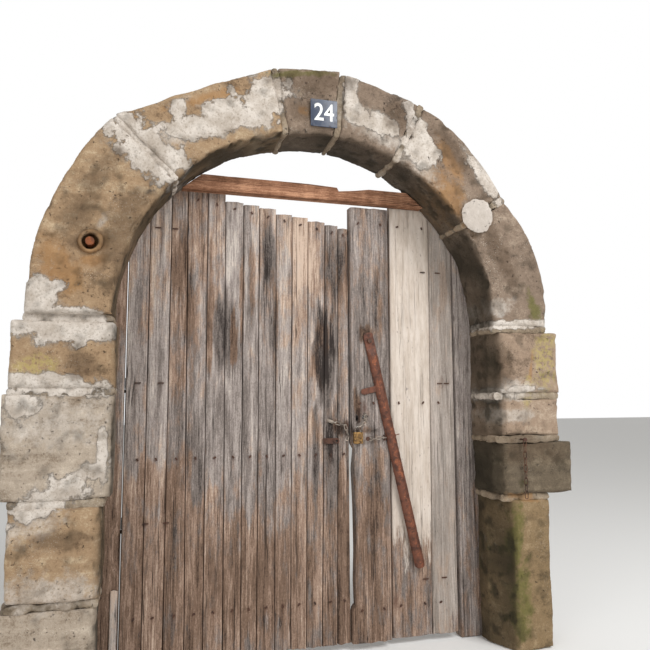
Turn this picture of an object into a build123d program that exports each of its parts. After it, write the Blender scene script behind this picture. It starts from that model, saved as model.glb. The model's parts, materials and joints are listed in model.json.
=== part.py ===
from build123d import *
from math import asin, atan2, cos, degrees, hypot, radians, sin, sqrt, tan
import os

# Arch and reveal
arch_radius = 720.0
springing_height = 1250.0
reveal_depth = 211.0
stone_arris = 12.0

# Arch stones: start and end angle, ring thickness at the start, middle and end, proud of the plain face
arch_stones = {
    "right_springer": (0.0, 34.0, 242.0, 265.0, 230.0, 4.0),
    "right_haunch_stone": (34.0, 64.0, 228.0, 254.0, 272.0, 8.0),
    "right_crown_stone": (64.0, 84.0, 268.0, 260.0, 264.0, 11.0),
    "keystone": (84.0, 100.0, 278.0, 262.0, 266.0, 6.0),
    "left_haunch_stone": (100.0, 136.5, 264.0, 244.0, 312.0, 12.0),
    "left_springer": (136.5, 180.0, 304.0, 294.0, 284.0, 28.0),
}

# Jamb stones from the floor up: height, inner and outer end beyond the arch radius, chamfer across and deep,
# proud of the plain face
right_jamb = {
    "right_foot_stone": (573.0, 14.0, 235.0, 58.0, 130.0, -6.0),
    "right_dark_stone": (208.0, 1.0, 340.0, 34.0, 60.0, 6.0),
    "right_low_stone": (155.0, 0.0, 292.0, 34.0, 80.0, 2.0),
    "right_top_stone": (250.0, 0.0, 296.0, 30.0, 75.0, 5.0),
}
left_jamb = {
    "left_foot_stone": (306.0, 24.0, 328.0, 10.0, 30.0, 4.0),
    "left_yellow_stone": (302.0, 14.0, 312.0, 14.0, 40.0, 10.0),
    "left_pale_stone": (349.0, -10.0, 340.0, 8.0, 24.0, 6.0),
    "left_top_stone": (229.0, -11.0, 325.0, 8.0, 24.0, 9.0),
}

# Mortar
bed_joint = 16.0
arch_joint = 12.0
mortar_recess = 6.0
patch_radius = 74.0
patch_beyond_reveal = 80.0
patch_thickness = 9.0
patch_round = 5.0
patch_sides = 16

# Number plate and iron in the stones
plate_width = 106.0
plate_height = 108.0
plate_thickness = 3.0
plate_corner = 5.0
plate_across = 21.0
plate_above_reveal = 83.0
stub_radius = 15.0
stub_hole_radius = 24.0
stub_hole_depth = 46.0
stub_length = 38.0
stub_beyond_reveal = 124.5
stub_angle = 162.6
chain_nail_across = arch_radius + 112.0
chain_nail_radius = 3.0
chain_nail_grip = 70.0
chain_nail_head_radius = 8.5
chain_nail_head_thickness = 3.0

# Posts, rail and lath
post_depth = 60.0
post_outer = arch_radius + 70.0
post_height = springing_height + 0.597 * arch_radius
left_post_inner = arch_radius - 35.0
right_post_inner = arch_radius - 65.0
post_top_slope = 30.0
rot_width = 26.0
rot_depth = 24.0
rot_height = 158.0
rot_foot = 358.0
rail_depth = 50.0
rail_fit = 0.3
rail_left_bottom = 0.728 * arch_radius
rail_right_bottom = 0.7155 * arch_radius
rail_left_top = 0.8155 * arch_radius
rail_right_top = 0.8 * arch_radius
rail_notch_depth = 15.0
rail_notch_start = 131.0
rail_notch_end = 262.0
lath_width = 24.0
lath_thickness = 8.0
lath_height = 300.0

# Leaves
leaf_overlap = 40.0
leaf_play = 1.0
hanging_gap = 4.0
meeting_gap = 6.0
meeting_line = arch_radius - 535.0
floor_gap = 20.0
board_thickness = 28.0
board_seam = 1.6
board_arris = 2.0
leaf_head = 0.75 * arch_radius
meeting_bevel = 9.0

# Left leaf boards from the hanging side: width at the head and the foot, drop of the head below leaf_head
left_boards = (
    (75.0, 76.0, 0.0), (79.0, 73.0, 0.0), (59.0, 75.0, 0.0), (78.0, 66.0, 0.0), (69.0, 71.0, 0.0),
    (71.0, 65.0, 40.0), (64.0, 59.0, 48.0), (68.0, 68.0, 57.0), (66.0, 60.0, 76.0), (66.0, 61.0, 83.0),
    (72.0, 62.0, 97.0), (55.0, 60.0, 108.0), (41.0, 53.0, 119.0),
)

# Right leaf boards from the meeting edge: width at the head and the foot
meeting_board_widths = (166.0, 160.0)
meeting_board_thickness = 44.0
meeting_board_below_rail = 6.0
shrunk_gap_widths = (14.0, 8.0)
painted_board_widths = (180.0, 171.0)
hanging_board_taper = 10.0
broken_edge_depth = 14.0
broken_edge_foot = 150.0
broken_edge_head = 790.0
broken_edge_profile = (
    (0.0, 0.0), (0.02, 1.0), (0.16, 0.75), (0.34, 1.0), (0.6, 0.85), (0.84, 0.4), (0.96, 1.0), (1.0, 0.0),
)

# Ledges: heights on the back of the leaves
ledge_thickness = 30.0
ledge_width = 70.0
ledge_inset = 36.0
ledge_meeting_inset = 22.0
raking_ledge_width = 60.0
raking_ledge_start = 0.703 * arch_radius
raking_ledge_drop = 120.0
raking_ledge_inset = 176.0
left_ledge_heights = (190.0, 750.0)
right_ledge_heights = (150.0, 950.0, springing_height + 0.611 * arch_radius)
right_head_ledge_cut = 55.0

# Nails
nail_size = 4.0
nail_play = 0.1
nail_head = 11.0
nail_head_width = 6.0
nail_head_height = 3.0
nail_head_turns = (58.0, -50.0, 20.0, -70.0)
clinch_length = 14.0
clinch_height = 3.0
nail_edge_distance = 12.0
right_nail_inset = 34.0
bar_nail_gap = 17.7

# Strap hinges: height and the two nails of each strap, measured from the pin
strap_thickness = 5.0
strap_height = 40.0
strap_tip = 24.0
strap_end = 34.0
strap_nail_head = 12.0
strap_nail_clinch = 22.0
pin_radius = 7.2
pin_clearance = 0.05
pin_side_gap = 1.0
pin_above_eye = 12.0
collar_radius = 11.0
collar_height = 4.0
collar_gap = 0.3
pintle_arm = 12.0
pintle_grip = 68.0
pintle_play = 0.1
left_straps_at = (
    (springing_height + 0.517 * arch_radius, 94.0, 158.0), (1030.0, 34.0, 117.0), (520.0, 73.0, 146.0),
)
right_straps_at = (
    (springing_height + 0.347 * arch_radius, 60.0, 128.0), (1030.0, 30.0, 60.0), (244.0, 60.0, 141.0),
)

# Locking bar
bar_pivot_across = meeting_line + 79.0
bar_pivot_height = 1202.0
bar_width = 46.0
bar_crown = 15.0
bar_above_pivot = 34.0
bar_below_pivot = 930.0
bar_flat_thickness = 5.0
bar_flat_below_pivot = 32.0
bar_rise_length = 34.0
bar_foot_round = 16.0
bar_stand_off = 0.6
bar_bolt_radius = 6.0
bar_bolt_clearance = 0.05
bar_bolt_head_radius = 10.0
bar_bolt_head_height = 6.0
bar_bolt_head_gap = 0.4
bar_bolt_plate = 34.0
bar_bolt_plate_thickness = 4.0
tongue_below_pivot = 196.0
tongue_reach = 84.0
tongue_width = 26.0
tongue_thickness = 5.0
peg_below_pivot = 396.0
peg_reach = 40.0
peg_radius = 3.0

# Forged rounds are hammered to flats
forged_sides = 8
hole_sides = 10

# Chain links: length, width and wire
lock_link = (28.0, 14.0, 3.6)
wall_link = (34.0, 16.0, 4.0)
link_play = 0.6
wire_sides = 6
wall_chain_links = 9
wall_chain_clear = 2.0

# Holes for the chains, across from the meeting line and up from the floor
chain_hole_radius = 10.5
left_hole = (meeting_line - 82.0, 879.0)
right_hole = (meeting_line + 58.0, 895.0)
rotted_hole = (meeting_line + 25.0, 890.0)
rotted_hole_size = (11.0, 25.0)
rotted_hole_turn = 14.0
chain_stand_off = 12.0
toggle_length = 36.0
toggle_radius = 3.0
toggle_gap = 0.4
left_strand = ((0.96, 0, -0.28),) * 3 + ((0.25, 0, -0.97),) * 2 + ((-0.2, 0, -0.98),)
right_strand = ((0, 0, -1), (-0.842, 0, -0.54), (-0.842, 0, -0.54))
lower_strand = ((-1, 0, 0), (-1, 0, -0.14), (-1, 0, -0.14), (-1, 0, 0.2))

# Staple that the bar leans on, bolt at the other end of its chain, hasp
staple_wire = 6.0
staple_across = meeting_line + 137.7
staple_height = 812.0
staple_span = 24.0
fixing_grip = 25.0
staple_bar_gap = 0.6
chain_bolt_radius = 2.6
chain_bolt_gap = 0.6
chain_bolt_head_radius = 9.0
chain_bolt_head_height = 4.0
hasp_length = 56.0
hasp_width = 22.0
hasp_thickness = 4.0
hasp_middle = (meeting_line - 85.0, 802.0)
hasp_nail_reach = 17.0

# Padlock
padlock_width = 38.0
padlock_height = 46.0
padlock_thickness = 15.0
padlock_round = 4.0
shackle_radius = 2.8
shackle_clearance = 0.05
shackle_spread = 22.0
shackle_rise = 22.0
shackle_bend_turns = (36.0, 72.0, 108.0, 144.0)
shackle_toe_depth = 6.0
shackle_heel_depth = 30.0
shackle_hole_margin = 3.0

# Depth of the whole: stone face in front, clinched nails behind, the origin midway
foremost = max(stone[5] for stone in arch_stones.values())
leaf_depth = leaf_play + board_thickness + ledge_thickness + clinch_height
overall_depth = foremost + reveal_depth + leaf_depth
stone_back = -overall_depth / 2 + foremost + reveal_depth
plain_face = stone_back - reveal_depth
leaf_front = stone_back + leaf_play
leaf_back = leaf_front + board_thickness
ledge_back = leaf_back + ledge_thickness
meeting_face = leaf_back - meeting_board_thickness


def facing(depth):
    """Drawing plane parallel to the wall at a depth, with X to the right and Z up."""
    return Plane.XZ.offset(-depth)


def save(piece, label):
    piece.part.label = label
    export_step(piece.part, f"parts/{label}.step")


def at_angle(radius, angle):
    """Point of the arch elevation at a radius and an angle above the springing line."""
    return radius * cos(radians(angle)), springing_height + radius * sin(radians(angle))


def chain_link(length, width, wire):
    """Closed link lying flat with its length along X, bent in short straight runs round each end."""
    side = (width - wire) / 2
    reach = (length - wire) / 2
    bend = side * (2 - sqrt(2))
    with BuildPart() as link:
        with BuildLine() as link_path:
            Polyline(
                (0, side), (reach - bend, side), (reach, side - bend),
                (reach, bend - side), (reach - bend, -side), (bend - reach, -side),
                (-reach, bend - side), (-reach, side - bend), (bend - reach, side), (0, side),
            )
        with BuildSketch(Plane(origin=(0, side, 0), x_dir=(0, 1, 0), z_dir=(1, 0, 0))):
            RegularPolygon(wire / 2, wire_sides)
        sweep(path=link_path.wires()[0], transition=Transition.RIGHT)
    return link.part


def chain_places(start, normal, headings, link, holder_radius):
    """Planes of the links of a hanging chain, with the end and the crosswise direction of the last one."""
    length, width, wire = link
    end = Vector(*start)
    crosswise = Vector(*normal)
    grip = holder_radius + wire / 2 + link_play
    places = []
    for wanted in headings:
        wanted = Vector(*wanted)
        heading = (wanted - crosswise * wanted.dot(crosswise)).normalized()
        middle = end + heading * ((length - wire) / 2 - grip)
        places.append(Plane(origin=middle, x_dir=heading, z_dir=crosswise))
        end = middle + heading * ((length - wire) / 2)
        crosswise = crosswise.cross(heading)
        grip = wire + link_play
    return places, end, crosswise


def nails_through(places, front, back):
    """Square nails with a head on the front and a clinched point behind."""
    with BuildPart() as nails:
        with BuildSketch(facing(front)):
            with Locations(*places):
                Rectangle(nail_size, nail_size)
        extrude(amount=front - back)
        for turn_number, turn in enumerate(nail_head_turns):
            turned = places[turn_number::len(nail_head_turns)]
            if turned:
                with BuildSketch(facing(front)):
                    with Locations(*turned):
                        Rectangle(nail_head, nail_head_width, rotation=turn)
                extrude(amount=nail_head_height)
        with BuildSketch(facing(back)):
            with Locations(*[
                (across + (clinch_length - nail_size) / 2, height) for across, height in places
            ]):
                Rectangle(clinch_length, nail_size)
        extrude(amount=-clinch_height)
    return nails.part


def strap_nails(places):
    """Nails driven through the straps from behind and clinched across the front of the boards."""
    with BuildPart() as nails:
        with BuildSketch(facing(leaf_back + strap_thickness)):
            with Locations(*places):
                Rectangle(nail_size, nail_size)
        extrude(amount=strap_thickness + board_thickness)
        with BuildSketch(facing(leaf_back + strap_thickness)):
            with Locations(*places):
                Rectangle(strap_nail_head, strap_nail_head)
        extrude(amount=-nail_head_height)
        with BuildSketch(facing(leaf_front)):
            with Locations(*places):
                Rectangle(strap_nail_clinch, nail_size)
        extrude(amount=clinch_height)
    return nails.part


def save_straps(label, side, pivot, straps, holes):
    """Strap hinges of one leaf, lying on the back of the boards, each with an eye rolled round its pin."""
    with BuildPart() as leaf_straps:
        for height, first_nail, second_nail in straps:
            length = second_nail + strap_end
            with BuildSketch(facing(leaf_back)):
                with BuildLine():
                    Polyline(
                        (pivot, height - strap_height / 2),
                        (pivot - side * (length - strap_tip), height - strap_height / 2),
                        (pivot - side * length, height - strap_height / 5),
                        (pivot - side * length, height + strap_height / 5),
                        (pivot - side * (length - strap_tip), height + strap_height / 2),
                        (pivot, height + strap_height / 2), close=True,
                    )
                make_face()
            extrude(amount=-strap_thickness)
            with BuildSketch(Plane.XY.offset(height - strap_height / 2)):
                with Locations((pivot, pivot_depth)):
                    Circle(pin_radius + pin_clearance + strap_thickness)
            extrude(amount=strap_height)
            with BuildSketch(Plane.XY.offset(height - strap_height / 2)):
                with Locations((pivot, pivot_depth)):
                    Circle(pin_radius + pin_clearance)
            extrude(amount=strap_height, mode=Mode.SUBTRACT)
        add(holes.part, mode=Mode.SUBTRACT)
    save(leaf_straps, label)


os.makedirs("parts", exist_ok=True)

# Arch stones
half_joint_angle = degrees(asin(arch_joint / 2 / arch_radius))
for label, (start, end, ring_start, ring_middle, ring_end, proud) in arch_stones.items():
    first = start + half_joint_angle if start > 0 else start
    last = end - half_joint_angle if end < 180 else end
    with BuildPart() as arch_stone:
        with BuildSketch(facing(stone_back)):
            with BuildLine():
                soffit = CenterArc((0, springing_height), arch_radius, first, last - first)
                top = ThreePointArc(
                    at_angle(arch_radius + ring_start, first),
                    at_angle(arch_radius + ring_middle, (first + last) / 2),
                    at_angle(arch_radius + ring_end, last),
                )
                Line(soffit @ 0, top @ 0)
                Line(soffit @ 1, top @ 1)
            make_face()
        extrude(amount=reveal_depth + proud)
        chamfer(arch_stone.faces().sort_by(Axis.Y)[0].edges(), stone_arris)
        if label == "left_springer":
            with BuildSketch(facing(plain_face - proud)):
                with Locations(at_angle(arch_radius + stub_beyond_reveal, stub_angle)):
                    RegularPolygon(stub_hole_radius, hole_sides)
            extrude(amount=-stub_hole_depth, mode=Mode.SUBTRACT)
    save(arch_stone, label)

# Iron stub at the bottom of its hole
stub_seat = plain_face - arch_stones["left_springer"][5] + stub_hole_depth
with BuildPart() as iron_stub:
    with BuildSketch(facing(stub_seat)):
        with Locations(at_angle(arch_radius + stub_beyond_reveal, stub_angle)):
            RegularPolygon(stub_radius, hole_sides)
    extrude(amount=stub_length)
save(iron_stub, "iron_stub")

# Jamb stones, each course as high as its share of the jamb
chain_nail_height = 0.0
mortar_beds = []
for side, jamb in ((1, right_jamb), (-1, left_jamb)):
    course_scale = (springing_height - bed_joint * len(jamb)) / sum(stone[0] for stone in jamb.values())
    courses = list(jamb.items())
    foot = 0.0
    for course, (label, jamb_sizes) in enumerate(courses):
        height, inner_beyond, outer_beyond, chamfer_across, chamfer_deep, proud = jamb_sizes
        inner = arch_radius + inner_beyond
        outer = arch_radius + outer_beyond
        top = foot + height * course_scale
        face = plain_face - proud
        with BuildPart() as jamb_stone:
            with BuildSketch(Plane.XY.offset(foot)):
                with BuildLine():
                    Polyline(
                        (side * inner, stone_back), (side * inner, face + chamfer_deep),
                        (side * (inner + chamfer_across), face), (side * outer, face),
                        (side * outer, stone_back),
                        close=True,
                    )
                make_face()
            extrude(amount=top - foot)
            chamfer(jamb_stone.faces().sort_by(Axis.Y)[0].edges(), stone_arris)
        save(jamb_stone, label)
        if course + 1 < len(courses):
            above = courses[course + 1][1]
        else:
            springer = arch_stones["right_springer" if side > 0 else "left_springer"]
            above = (0, 0, springer[2] if side > 0 else springer[4], 0, 0, springer[5])
        bed_inner = max(inner, arch_radius + above[1]) + mortar_recess
        bed_outer = min(outer, arch_radius + above[2]) - mortar_recess
        bed_face = plain_face - min(proud, above[5]) + mortar_recess
        mortar_beds.append((side, bed_inner, bed_outer, bed_face, top))
        if label == "right_dark_stone":
            chain_nail_height = top + bed_joint / 2
            chain_nail_face = face
        foot = top + bed_joint

# Mortar in the beds and in the arch joints
with BuildPart() as mortar_joints:
    for side, bed_inner, bed_outer, bed_face, bottom in mortar_beds:
        with BuildSketch(Plane.XY.offset(bottom)):
            with Locations((side * (bed_inner + bed_outer) / 2, (bed_face + stone_back) / 2)):
                Rectangle(bed_outer - bed_inner, stone_back - bed_face)
        extrude(amount=bed_joint)
    ring = list(arch_stones.values())
    for lower, upper in zip(ring[:-1], ring[1:]):
        joint_angle = lower[1]
        joint_face = plain_face - min(lower[5], upper[5]) + mortar_recess
        with BuildSketch(facing(stone_back)):
            with BuildLine():
                near = CenterArc(
                    (0, springing_height), arch_radius + mortar_recess,
                    joint_angle - half_joint_angle, 2 * half_joint_angle,
                )
                far = CenterArc(
                    (0, springing_height), arch_radius + min(lower[4], upper[2]) - mortar_recess,
                    joint_angle - half_joint_angle, 2 * half_joint_angle,
                )
                Line(near @ 0, far @ 0)
                Line(near @ 1, far @ 1)
            make_face()
        extrude(amount=stone_back - joint_face)
    with BuildSketch(facing(plain_face)):
        with Locations((chain_nail_across, chain_nail_height)):
            Circle(chain_nail_radius + nail_play)
    extrude(amount=-(chain_nail_grip + mortar_recess), mode=Mode.SUBTRACT)
save(mortar_joints, "mortar_joints")

# Round mortar patch over the joint below the right haunch
patch_joint = arch_stones["right_haunch_stone"]
patch_seat = plain_face - patch_joint[5]
with BuildPart() as mortar_patch:
    with BuildSketch(facing(patch_seat)):
        with Locations(at_angle(arch_radius + patch_beyond_reveal, patch_joint[0])):
            RegularPolygon(patch_radius, patch_sides)
    extrude(amount=patch_thickness)
    chamfer(mortar_patch.faces().sort_by(Axis.Y)[0].edges(), patch_round)
save(mortar_patch, "mortar_patch")

# Number plate on the keystone
with BuildPart() as number_plate:
    with BuildSketch(facing(plain_face - arch_stones["keystone"][5])):
        with Locations((plate_across, springing_height + arch_radius + plate_above_reveal)):
            RectangleRounded(plate_width, plate_height, plate_corner)
    extrude(amount=plate_thickness)
save(number_plate, "number_plate")

# Posts behind the jambs
left_pivot_across = -left_post_inner + pin_side_gap + pin_radius + pin_clearance + strap_thickness
right_pivot_across = right_post_inner - pin_side_gap - pin_radius - pin_clearance - strap_thickness
pivot_depth = leaf_back + pin_radius + pin_clearance + strap_thickness
arm_below_strap = strap_height / 2 + collar_gap + collar_height + pintle_arm / 2
for label, side, inner, straps in (
    ("left_post", -1, left_post_inner, left_straps_at),
    ("right_post", 1, right_post_inner, right_straps_at),
):
    with BuildPart() as post:
        with BuildSketch(facing(stone_back)):
            with BuildLine():
                Polyline(
                    (side * inner, 0), (side * post_outer, 0),
                    (side * post_outer, post_height - post_top_slope),
                    (side * inner, post_height), close=True,
                )
            make_face()
        extrude(amount=-post_depth)
        if side < 0:
            with BuildSketch(facing(stone_back)):
                with Locations((side * inner, rot_foot + rot_height / 2)):
                    Ellipse(rot_width, rot_height / 2)
            extrude(amount=-rot_depth, mode=Mode.SUBTRACT)
        for height, first_nail, second_nail in straps:
            with BuildSketch(Plane.YZ.offset(side * inner)):
                with Locations((pivot_depth, height - arm_below_strap)):
                    Rectangle(pintle_arm + 2 * pintle_play, pintle_arm + 2 * pintle_play)
            extrude(amount=side * pintle_grip, mode=Mode.SUBTRACT)
    save(post, label)

# Rail wedged between the flanks of the arch, its top edge split away on the right
with BuildPart() as rail:
    with BuildSketch(facing(stone_back - rail_depth)):
        with BuildLine():
            Polyline(
                (-arch_radius, springing_height + rail_left_bottom),
                (arch_radius, springing_height + rail_right_bottom),
                (arch_radius, springing_height + rail_right_top),
                (rail_notch_end, springing_height + rail_right_top + rail_notch_depth / 5),
                ((rail_notch_start + rail_notch_end) / 2, springing_height + rail_right_top - rail_notch_depth / 2),
                (rail_notch_start, springing_height + rail_right_top - rail_notch_depth),
                (rail_notch_start - rail_notch_depth / 3, springing_height + rail_right_top),
                (0, springing_height + (rail_left_top + rail_right_top) / 2),
                (-arch_radius, springing_height + rail_left_top), close=True,
            )
        make_face()
        with Locations((0, springing_height)):
            Circle(arch_radius - rail_fit, mode=Mode.INTERSECT)
    extrude(amount=-rail_depth)
save(rail, "rail")

# Stop lath on the foot of the left post
with BuildPart() as stop_lath:
    with BuildSketch(facing(stone_back)):
        with Locations((-left_post_inner - hanging_gap - lath_width / 2, lath_height / 2)):
            Rectangle(lath_width, lath_height)
    extrude(amount=lath_thickness)
save(stop_lath, "stop_lath")

# Pintles: pin, collar and driven arm
with BuildPart() as pintles:
    for side, pivot, inner, straps in (
        (-1, left_pivot_across, left_post_inner, left_straps_at),
        (1, right_pivot_across, right_post_inner, right_straps_at),
    ):
        for height, first_nail, second_nail in straps:
            arm_height = height - arm_below_strap
            collar_foot = height - strap_height / 2 - collar_gap - collar_height
            with BuildSketch(Plane.XY.offset(collar_foot + collar_height)):
                with Locations((pivot, pivot_depth)):
                    Circle(pin_radius)
            extrude(amount=collar_gap + strap_height + pin_above_eye)
            with BuildSketch(Plane.XY.offset(arm_height - pintle_arm / 2)):
                with Locations((pivot, pivot_depth)):
                    RegularPolygon(collar_radius, forged_sides)
            extrude(amount=pintle_arm + collar_height)
            with BuildSketch(Plane.YZ.offset(pivot)):
                with Locations((pivot_depth, arm_height)):
                    Rectangle(pintle_arm, pintle_arm)
            extrude(amount=side * (abs(inner) + pintle_grip - abs(pivot)))
save(pintles, "pintles")

# Outline that the leaf heads follow behind the arch
leaf_radius = arch_radius + leaf_overlap
with BuildSketch() as leaf_outline:
    with Locations((0, springing_height / 2)):
        Rectangle(2 * leaf_radius, springing_height)
    with Locations((0, springing_height)):
        Circle(leaf_radius)

# Left leaf: edges of its boards at the head and the foot
left_leaf_edge = -left_post_inner + hanging_gap
left_leaf_meeting = meeting_line - meeting_gap / 2
left_leaf_width = left_leaf_meeting - left_leaf_edge
leaf_head_height = springing_height + leaf_head
head_scale = left_leaf_width / sum(board[0] for board in left_boards)
foot_scale = left_leaf_width / sum(board[1] for board in left_boards)
left_edges = [(left_leaf_edge, left_leaf_edge)]
for head_width, foot_width, drop in left_boards:
    head_edge, foot_edge = left_edges[-1]
    left_edges.append((head_edge + head_width * head_scale, foot_edge + foot_width * foot_scale))
left_pairs = list(zip(left_edges[:-1], left_edges[1:]))


def edge_at(edge, height):
    """Place of a leaning board edge at a height above the floor."""
    share = (height - floor_gap) / (leaf_head_height - floor_gap)
    return edge[1] + (edge[0] - edge[1]) * share


# Left leaf nails: one on each ledge that crosses a board, two in each strap and in the hasp
ledge_slope = raking_ledge_drop / (left_leaf_width - raking_ledge_inset)
raking_ledge_left = left_leaf_edge + raking_ledge_inset
left_ledge_nails = []
for left, right in left_pairs:
    for height in left_ledge_heights:
        across = (edge_at(left, height) + edge_at(right, height)) / 2
        left_ledge_nails.append((max(across, left_leaf_edge + ledge_inset + nail_edge_distance), height))
    head_across = (left[0] + right[0]) / 2
    if head_across > raking_ledge_left + nail_edge_distance:
        head_height = springing_height + raking_ledge_start - (head_across - raking_ledge_left) * ledge_slope
        left_ledge_nails.append((head_across, head_height))
left_strap_nails = [
    (left_pivot_across + reach, height)
    for height, first, second in left_straps_at for reach in (first, second)
]
hasp_nails = [(hasp_middle[0] + way * hasp_nail_reach, hasp_middle[1]) for way in (-1, 1)]

# Holes through the left leaf
with BuildPart() as left_holes:
    with BuildSketch(facing(leaf_front - hasp_thickness)):
        with Locations(*left_ledge_nails, *left_strap_nails, *hasp_nails):
            Rectangle(nail_size + 2 * nail_play, nail_size + 2 * nail_play)
        with Locations(left_hole):
            RegularPolygon(chain_hole_radius, hole_sides)
    extrude(amount=-(hasp_thickness + board_thickness + ledge_thickness))

# Left leaf boards
for number, ((left, right), board_sizes) in enumerate(zip(left_pairs, left_boards), start=1):
    drop = board_sizes[2]
    with BuildPart() as left_board:
        with BuildSketch(facing(leaf_front)):
            with BuildLine():
                Polyline(
                    (left[1] + board_seam / 2, floor_gap), (right[1] - board_seam / 2, floor_gap),
                    (right[0] - board_seam / 2, leaf_head_height - drop),
                    (left[0] + board_seam / 2, leaf_head_height - drop), close=True,
                )
            make_face()
            add(leaf_outline.sketch, mode=Mode.INTERSECT)
        extrude(amount=-board_thickness)
        long_edges = left_board.faces().sort_by(Axis.Y)[0].edges().sort_by(SortBy.LENGTH)[-2:].sort_by(Axis.X)
        chamfer(long_edges[0], board_arris)
        if number == len(left_boards):
            meeting_edges = left_board.faces().sort_by(Axis.Y)[0].edges().sort_by(Axis.X)
            chamfer(meeting_edges[-1], meeting_bevel)
        add(left_holes.part, mode=Mode.SUBTRACT)
    save(left_board, f"left_board_{number}")

# Left leaf ledges
for label, height in zip(("left_foot_ledge", "left_middle_ledge"), left_ledge_heights):
    with BuildPart() as left_ledge:
        ledge_start = left_leaf_edge + ledge_inset
        ledge_end = left_leaf_meeting - ledge_meeting_inset
        with BuildSketch(facing(leaf_back)):
            with Locations(((ledge_start + ledge_end) / 2, height)):
                Rectangle(ledge_end - ledge_start, ledge_width)
        extrude(amount=-ledge_thickness)
        chamfer(left_ledge.faces().sort_by(Axis.Y)[-1].edges(), board_arris)
        add(left_holes.part, mode=Mode.SUBTRACT)
    save(left_ledge, label)
with BuildPart() as left_head_ledge:
    ledge_end = left_leaf_meeting - ledge_meeting_inset
    ledge_fall = (ledge_end - raking_ledge_left) * ledge_slope
    start_height = springing_height + raking_ledge_start
    with BuildSketch(facing(leaf_back)):
        with BuildLine():
            Polyline(
                (raking_ledge_left, start_height - raking_ledge_width / 2),
                (ledge_end, start_height - ledge_fall - raking_ledge_width / 2),
                (ledge_end, start_height - ledge_fall + raking_ledge_width / 2),
                (raking_ledge_left, start_height + raking_ledge_width / 2), close=True,
            )
        make_face()
        add(leaf_outline.sketch, mode=Mode.INTERSECT)
    extrude(amount=-ledge_thickness)
    chamfer(left_head_ledge.faces().sort_by(Axis.Y)[-1].edges().filter_by(GeomType.LINE), board_arris)
    add(left_holes.part, mode=Mode.SUBTRACT)
save(left_head_ledge, "left_head_ledge")

# Left leaf straps, nails and hasp
save_straps("left_straps", -1, left_pivot_across, left_straps_at, left_holes)
with BuildPart() as left_nails:
    add(nails_through(left_ledge_nails, leaf_front, ledge_back))
    add(nails_through(hasp_nails, leaf_front - hasp_thickness, leaf_back))
    add(strap_nails(left_strap_nails))
save(left_nails, "left_nails")
with BuildPart() as hasp:
    with BuildSketch(facing(leaf_front)):
        with Locations(hasp_middle):
            Rectangle(hasp_length, hasp_width)
            with Locations((hasp_length / 2, 0)):
                RegularPolygon(hasp_width / 2, hole_sides)
                RegularPolygon(hasp_width / 4, forged_sides, mode=Mode.SUBTRACT)
    extrude(amount=hasp_thickness)
    add(left_holes.part, mode=Mode.SUBTRACT)
save(hasp, "hasp")

# Right leaf: edges of its boards at the head and the foot
right_leaf_meeting = meeting_line + meeting_gap / 2
right_leaf_edge = right_post_inner - hanging_gap
meeting_board_right = [right_leaf_meeting + width for width in meeting_board_widths]
painted_board_left = [edge + gap for edge, gap in zip(meeting_board_right, shrunk_gap_widths)]
painted_board_right = [edge + width for edge, width in zip(painted_board_left, painted_board_widths)]
hanging_board_right = (right_leaf_edge, right_leaf_edge - hanging_board_taper)
meeting_board_head = (
    springing_height + rail_right_bottom - meeting_board_below_rail
    + (rail_left_bottom - rail_right_bottom) * (1 - meeting_board_right[0] / arch_radius) / 2
)

# Lean of the locking bar, which rests against the staple
bar_rest_across = staple_across + staple_wire / 2 + staple_bar_gap - bar_pivot_across
bar_rest_below = bar_pivot_height - staple_height - staple_span / 2
bar_rest_reach = hypot(bar_rest_across, bar_rest_below)
bar_lean = atan2(bar_rest_across, bar_rest_below) + asin(bar_width / 2 / bar_rest_reach)

# Right leaf nails
hanging_board_left = [edge + board_seam for edge in painted_board_right]
right_ledge_ends = [
    right_leaf_edge - ledge_inset - (right_head_ledge_cut if height > springing_height else 0)
    for height in right_ledge_heights
]
meeting_board_nails = []
right_board_nails = []
for height, ledge_end in zip(right_ledge_heights, right_ledge_ends):
    meeting_board_nails.append((right_leaf_meeting + right_nail_inset, height))
    bar_centre = bar_pivot_across + (bar_pivot_height - height) * tan(bar_lean)
    bar_left_edge = bar_centre - bar_width / 2 / cos(bar_lean)
    second_across = edge_at(meeting_board_right, height) - right_nail_inset
    if abs(second_across - bar_left_edge) < bar_width:
        second_across = bar_left_edge - bar_nail_gap
    meeting_board_nails.append((second_across, height))
    for left, right in ((painted_board_left, painted_board_right), (hanging_board_left, hanging_board_right)):
        for across in (edge_at(left, height) + right_nail_inset, edge_at(right, height) - right_nail_inset):
            if across < ledge_end - nail_edge_distance:
                right_board_nails.append((across, height))
right_strap_nails = [
    (right_pivot_across - reach, height)
    for height, first, second in right_straps_at for reach in (first, second)
]

# Links of the chains on the leaves, each strand starting in a long link that comes through its hole
tail_clear = chain_stand_off + lock_link[2] / 2
tail_behind = toggle_gap + 2 * toggle_radius + link_play + lock_link[2]
toggle_depth = leaf_back + toggle_gap + toggle_radius


def tail_link_place(hole, face, first_heading):
    """Plane and length of the long link through a hole, and the crosswise direction of its front end."""
    length = leaf_back + tail_behind - (face - tail_clear)
    outward = Vector(0, -1, 0)
    crosswise = outward.cross(Vector(*first_heading)).normalized()
    flat = outward.cross(crosswise)
    middle = (hole[0], face - tail_clear + length / 2, hole[1])
    return Plane(origin=middle, x_dir=outward, z_dir=flat), length, crosswise


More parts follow.
